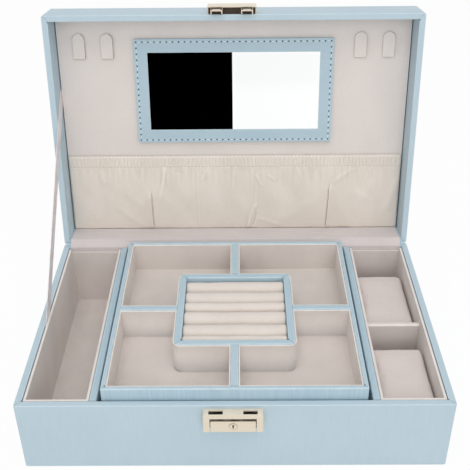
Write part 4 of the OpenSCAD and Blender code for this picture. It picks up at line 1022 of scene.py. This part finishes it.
# ---- Hasp ----
# A pressed cover of the same pale gold on the lid's front wall, with a dark core that holds two
# bright catches. The catches drop into the lock's slots when the lid is shut.
outward = open_lid.to_3x3() @ Vector((0, -1, 0))
for node, radius in (("hasp_cover", 0.35), ("hasp_catches", 0.25)):
    bm = copy_of(node)
    if node == "hasp_catches":
        for face in bm.faces:                 # the punched side is painted in shade, its edges carry a painted glint
            face.material_index = SHADE_SLOT if face.normal.dot(outward) > 0.9 else 0
    soften(bm, radius * mm, 2)
    edge = bm.faces.layers.float["edge"]
    for face in bm.faces:
        if face[edge] == 1.0:
            face.material_index = 0
    piece = add_piece(node + "_plated", bm, pale_gold, "lid", [node])
    piece.data.materials.append(dark_core)
dress(pale_gold, "hasp_rivets")
dress(dark_core, "hasp_core")


# ---- Tray ----
# The tray lifts out. Its walls, dividers and ring frame are board covered with the blue
# leather, with soft top edges. The floor and the four linings are velvet.
tray_leather = leather("tray_leather", (171, 194, 205), (182, 203, 213), (700, 700, 45))
for node in ("tray_walls", "tray_rear_arm", "tray_front_arm", "tray_left_arm", "tray_right_arm",
             "ring_frame"):
    finish = tray_leather if node == "tray_walls" else trim_leather
    add_piece(node + "_leather", copy_of(node), finish, "tray", [node])
bm = bmesh.new()
for node, into in (("tray_walls", 2.2 * mm), ("ring_frame", 4.0 * mm)):   # as wide as each rim
    low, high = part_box(node)
    middle = (low + high) / 2
    corner_folds(bm, Vector((middle.x, middle.y, high.z)), high.x - middle.x, high.y - middle.y, into)
add_piece("tray_corner_folds", bm, leather_fold_shade, "tray")

tray_velvet = velvet("tray_velvet", (227, 219, 213), 0.05)
bm = copy_of("tray_floor")
soften(bm, 0.2 * mm, 1)
add_piece("tray_floor_velvet", bm, tray_velvet, "tray", ["tray_floor"])
for node in ("rear_left_lining", "rear_right_lining", "front_left_lining", "front_right_lining"):
    bm = copy_of(node)
    soften(bm, 0.3 * mm, 2)
    light_rim(bm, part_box(node)[1].z)
    add_piece(node + "_velvet", bm, tray_velvet, "tray", [node])


# ---- Ring rolls ----
# Six foam rolls covered with cream velvet lie side by side in the ring frame. They are of
# uneven thickness, press on each other and have their cloth tucked in at the ends.
ROLL_SHARES = (8, 14.5, 14.5, 9.5, 14, 12.5)
ROLL_NIP = 0.15 * mm                      # gap that the rolls keep between them
ROLL_END_R = 1.8 * mm
ROLL_DENT = 0.5 * mm
dress(foam, "ring_bed")
roll_velvet = velvet("roll_velvet", (231, 222, 214), 0.03, 0.3)
rolls_low, rolls_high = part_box("ring_rolls")
roll_y = rolls_low.y
rolls_size = rolls_high - rolls_low
for number, part in enumerate(ROLL_SHARES):
    depth = rolls_size.y * part / sum(ROLL_SHARES)
    radius = depth / 2 - ROLL_NIP / 2
    bm = bmesh.new()
    bmesh.ops.create_cone(bm, cap_ends=True, segments=32, radius1=radius, radius2=radius,
                          depth=rolls_size.x)
    bmesh.ops.rotate(bm, verts=bm.verts, cent=(0, 0, 0), matrix=Matrix.Rotation(math.pi / 2, 3, "Y"))
    lengthwise = [e for e in bm.edges if abs(e.verts[0].co.x - e.verts[1].co.x) > radius]
    bmesh.ops.subdivide_edges(bm, edges=lengthwise, cuts=36)
    rims = [e for e in bm.edges if e.is_manifold and e.calc_face_angle() > math.radians(60)]
    bmesh.ops.bevel(bm, geom=rims, offset=ROLL_END_R, offset_type="OFFSET", segments=4, profile=0.5,
                    affect="EDGES", material=-1, clamp_overlap=True)
    deeper = max(1.0, (rolls_size.z - radius) / radius)
    for vert in bm.verts:
        if vert.co.z < -radius * 0.2:
            vert.co.z *= deeper
        soft = noise.noise(Vector((vert.co.x * 70, number * 7.3, vert.co.z * 90)))
        vert.co.z += min(0.0, (soft - 0.25) * ROLL_DENT)
    bmesh.ops.translate(bm, verts=bm.verts, vec=(
        (rolls_low.x + rolls_high.x) / 2, roll_y + depth / 2, rolls_high.z - radius))
    roll = add_piece(f"ring_roll_{number + 1}", bm, roll_velvet, "tray",
                     ["ring_rolls"], 80)
    roll_y += depth


# ---- Update ----
# The view layer is brought up to date.
bpy.context.view_layer.update()
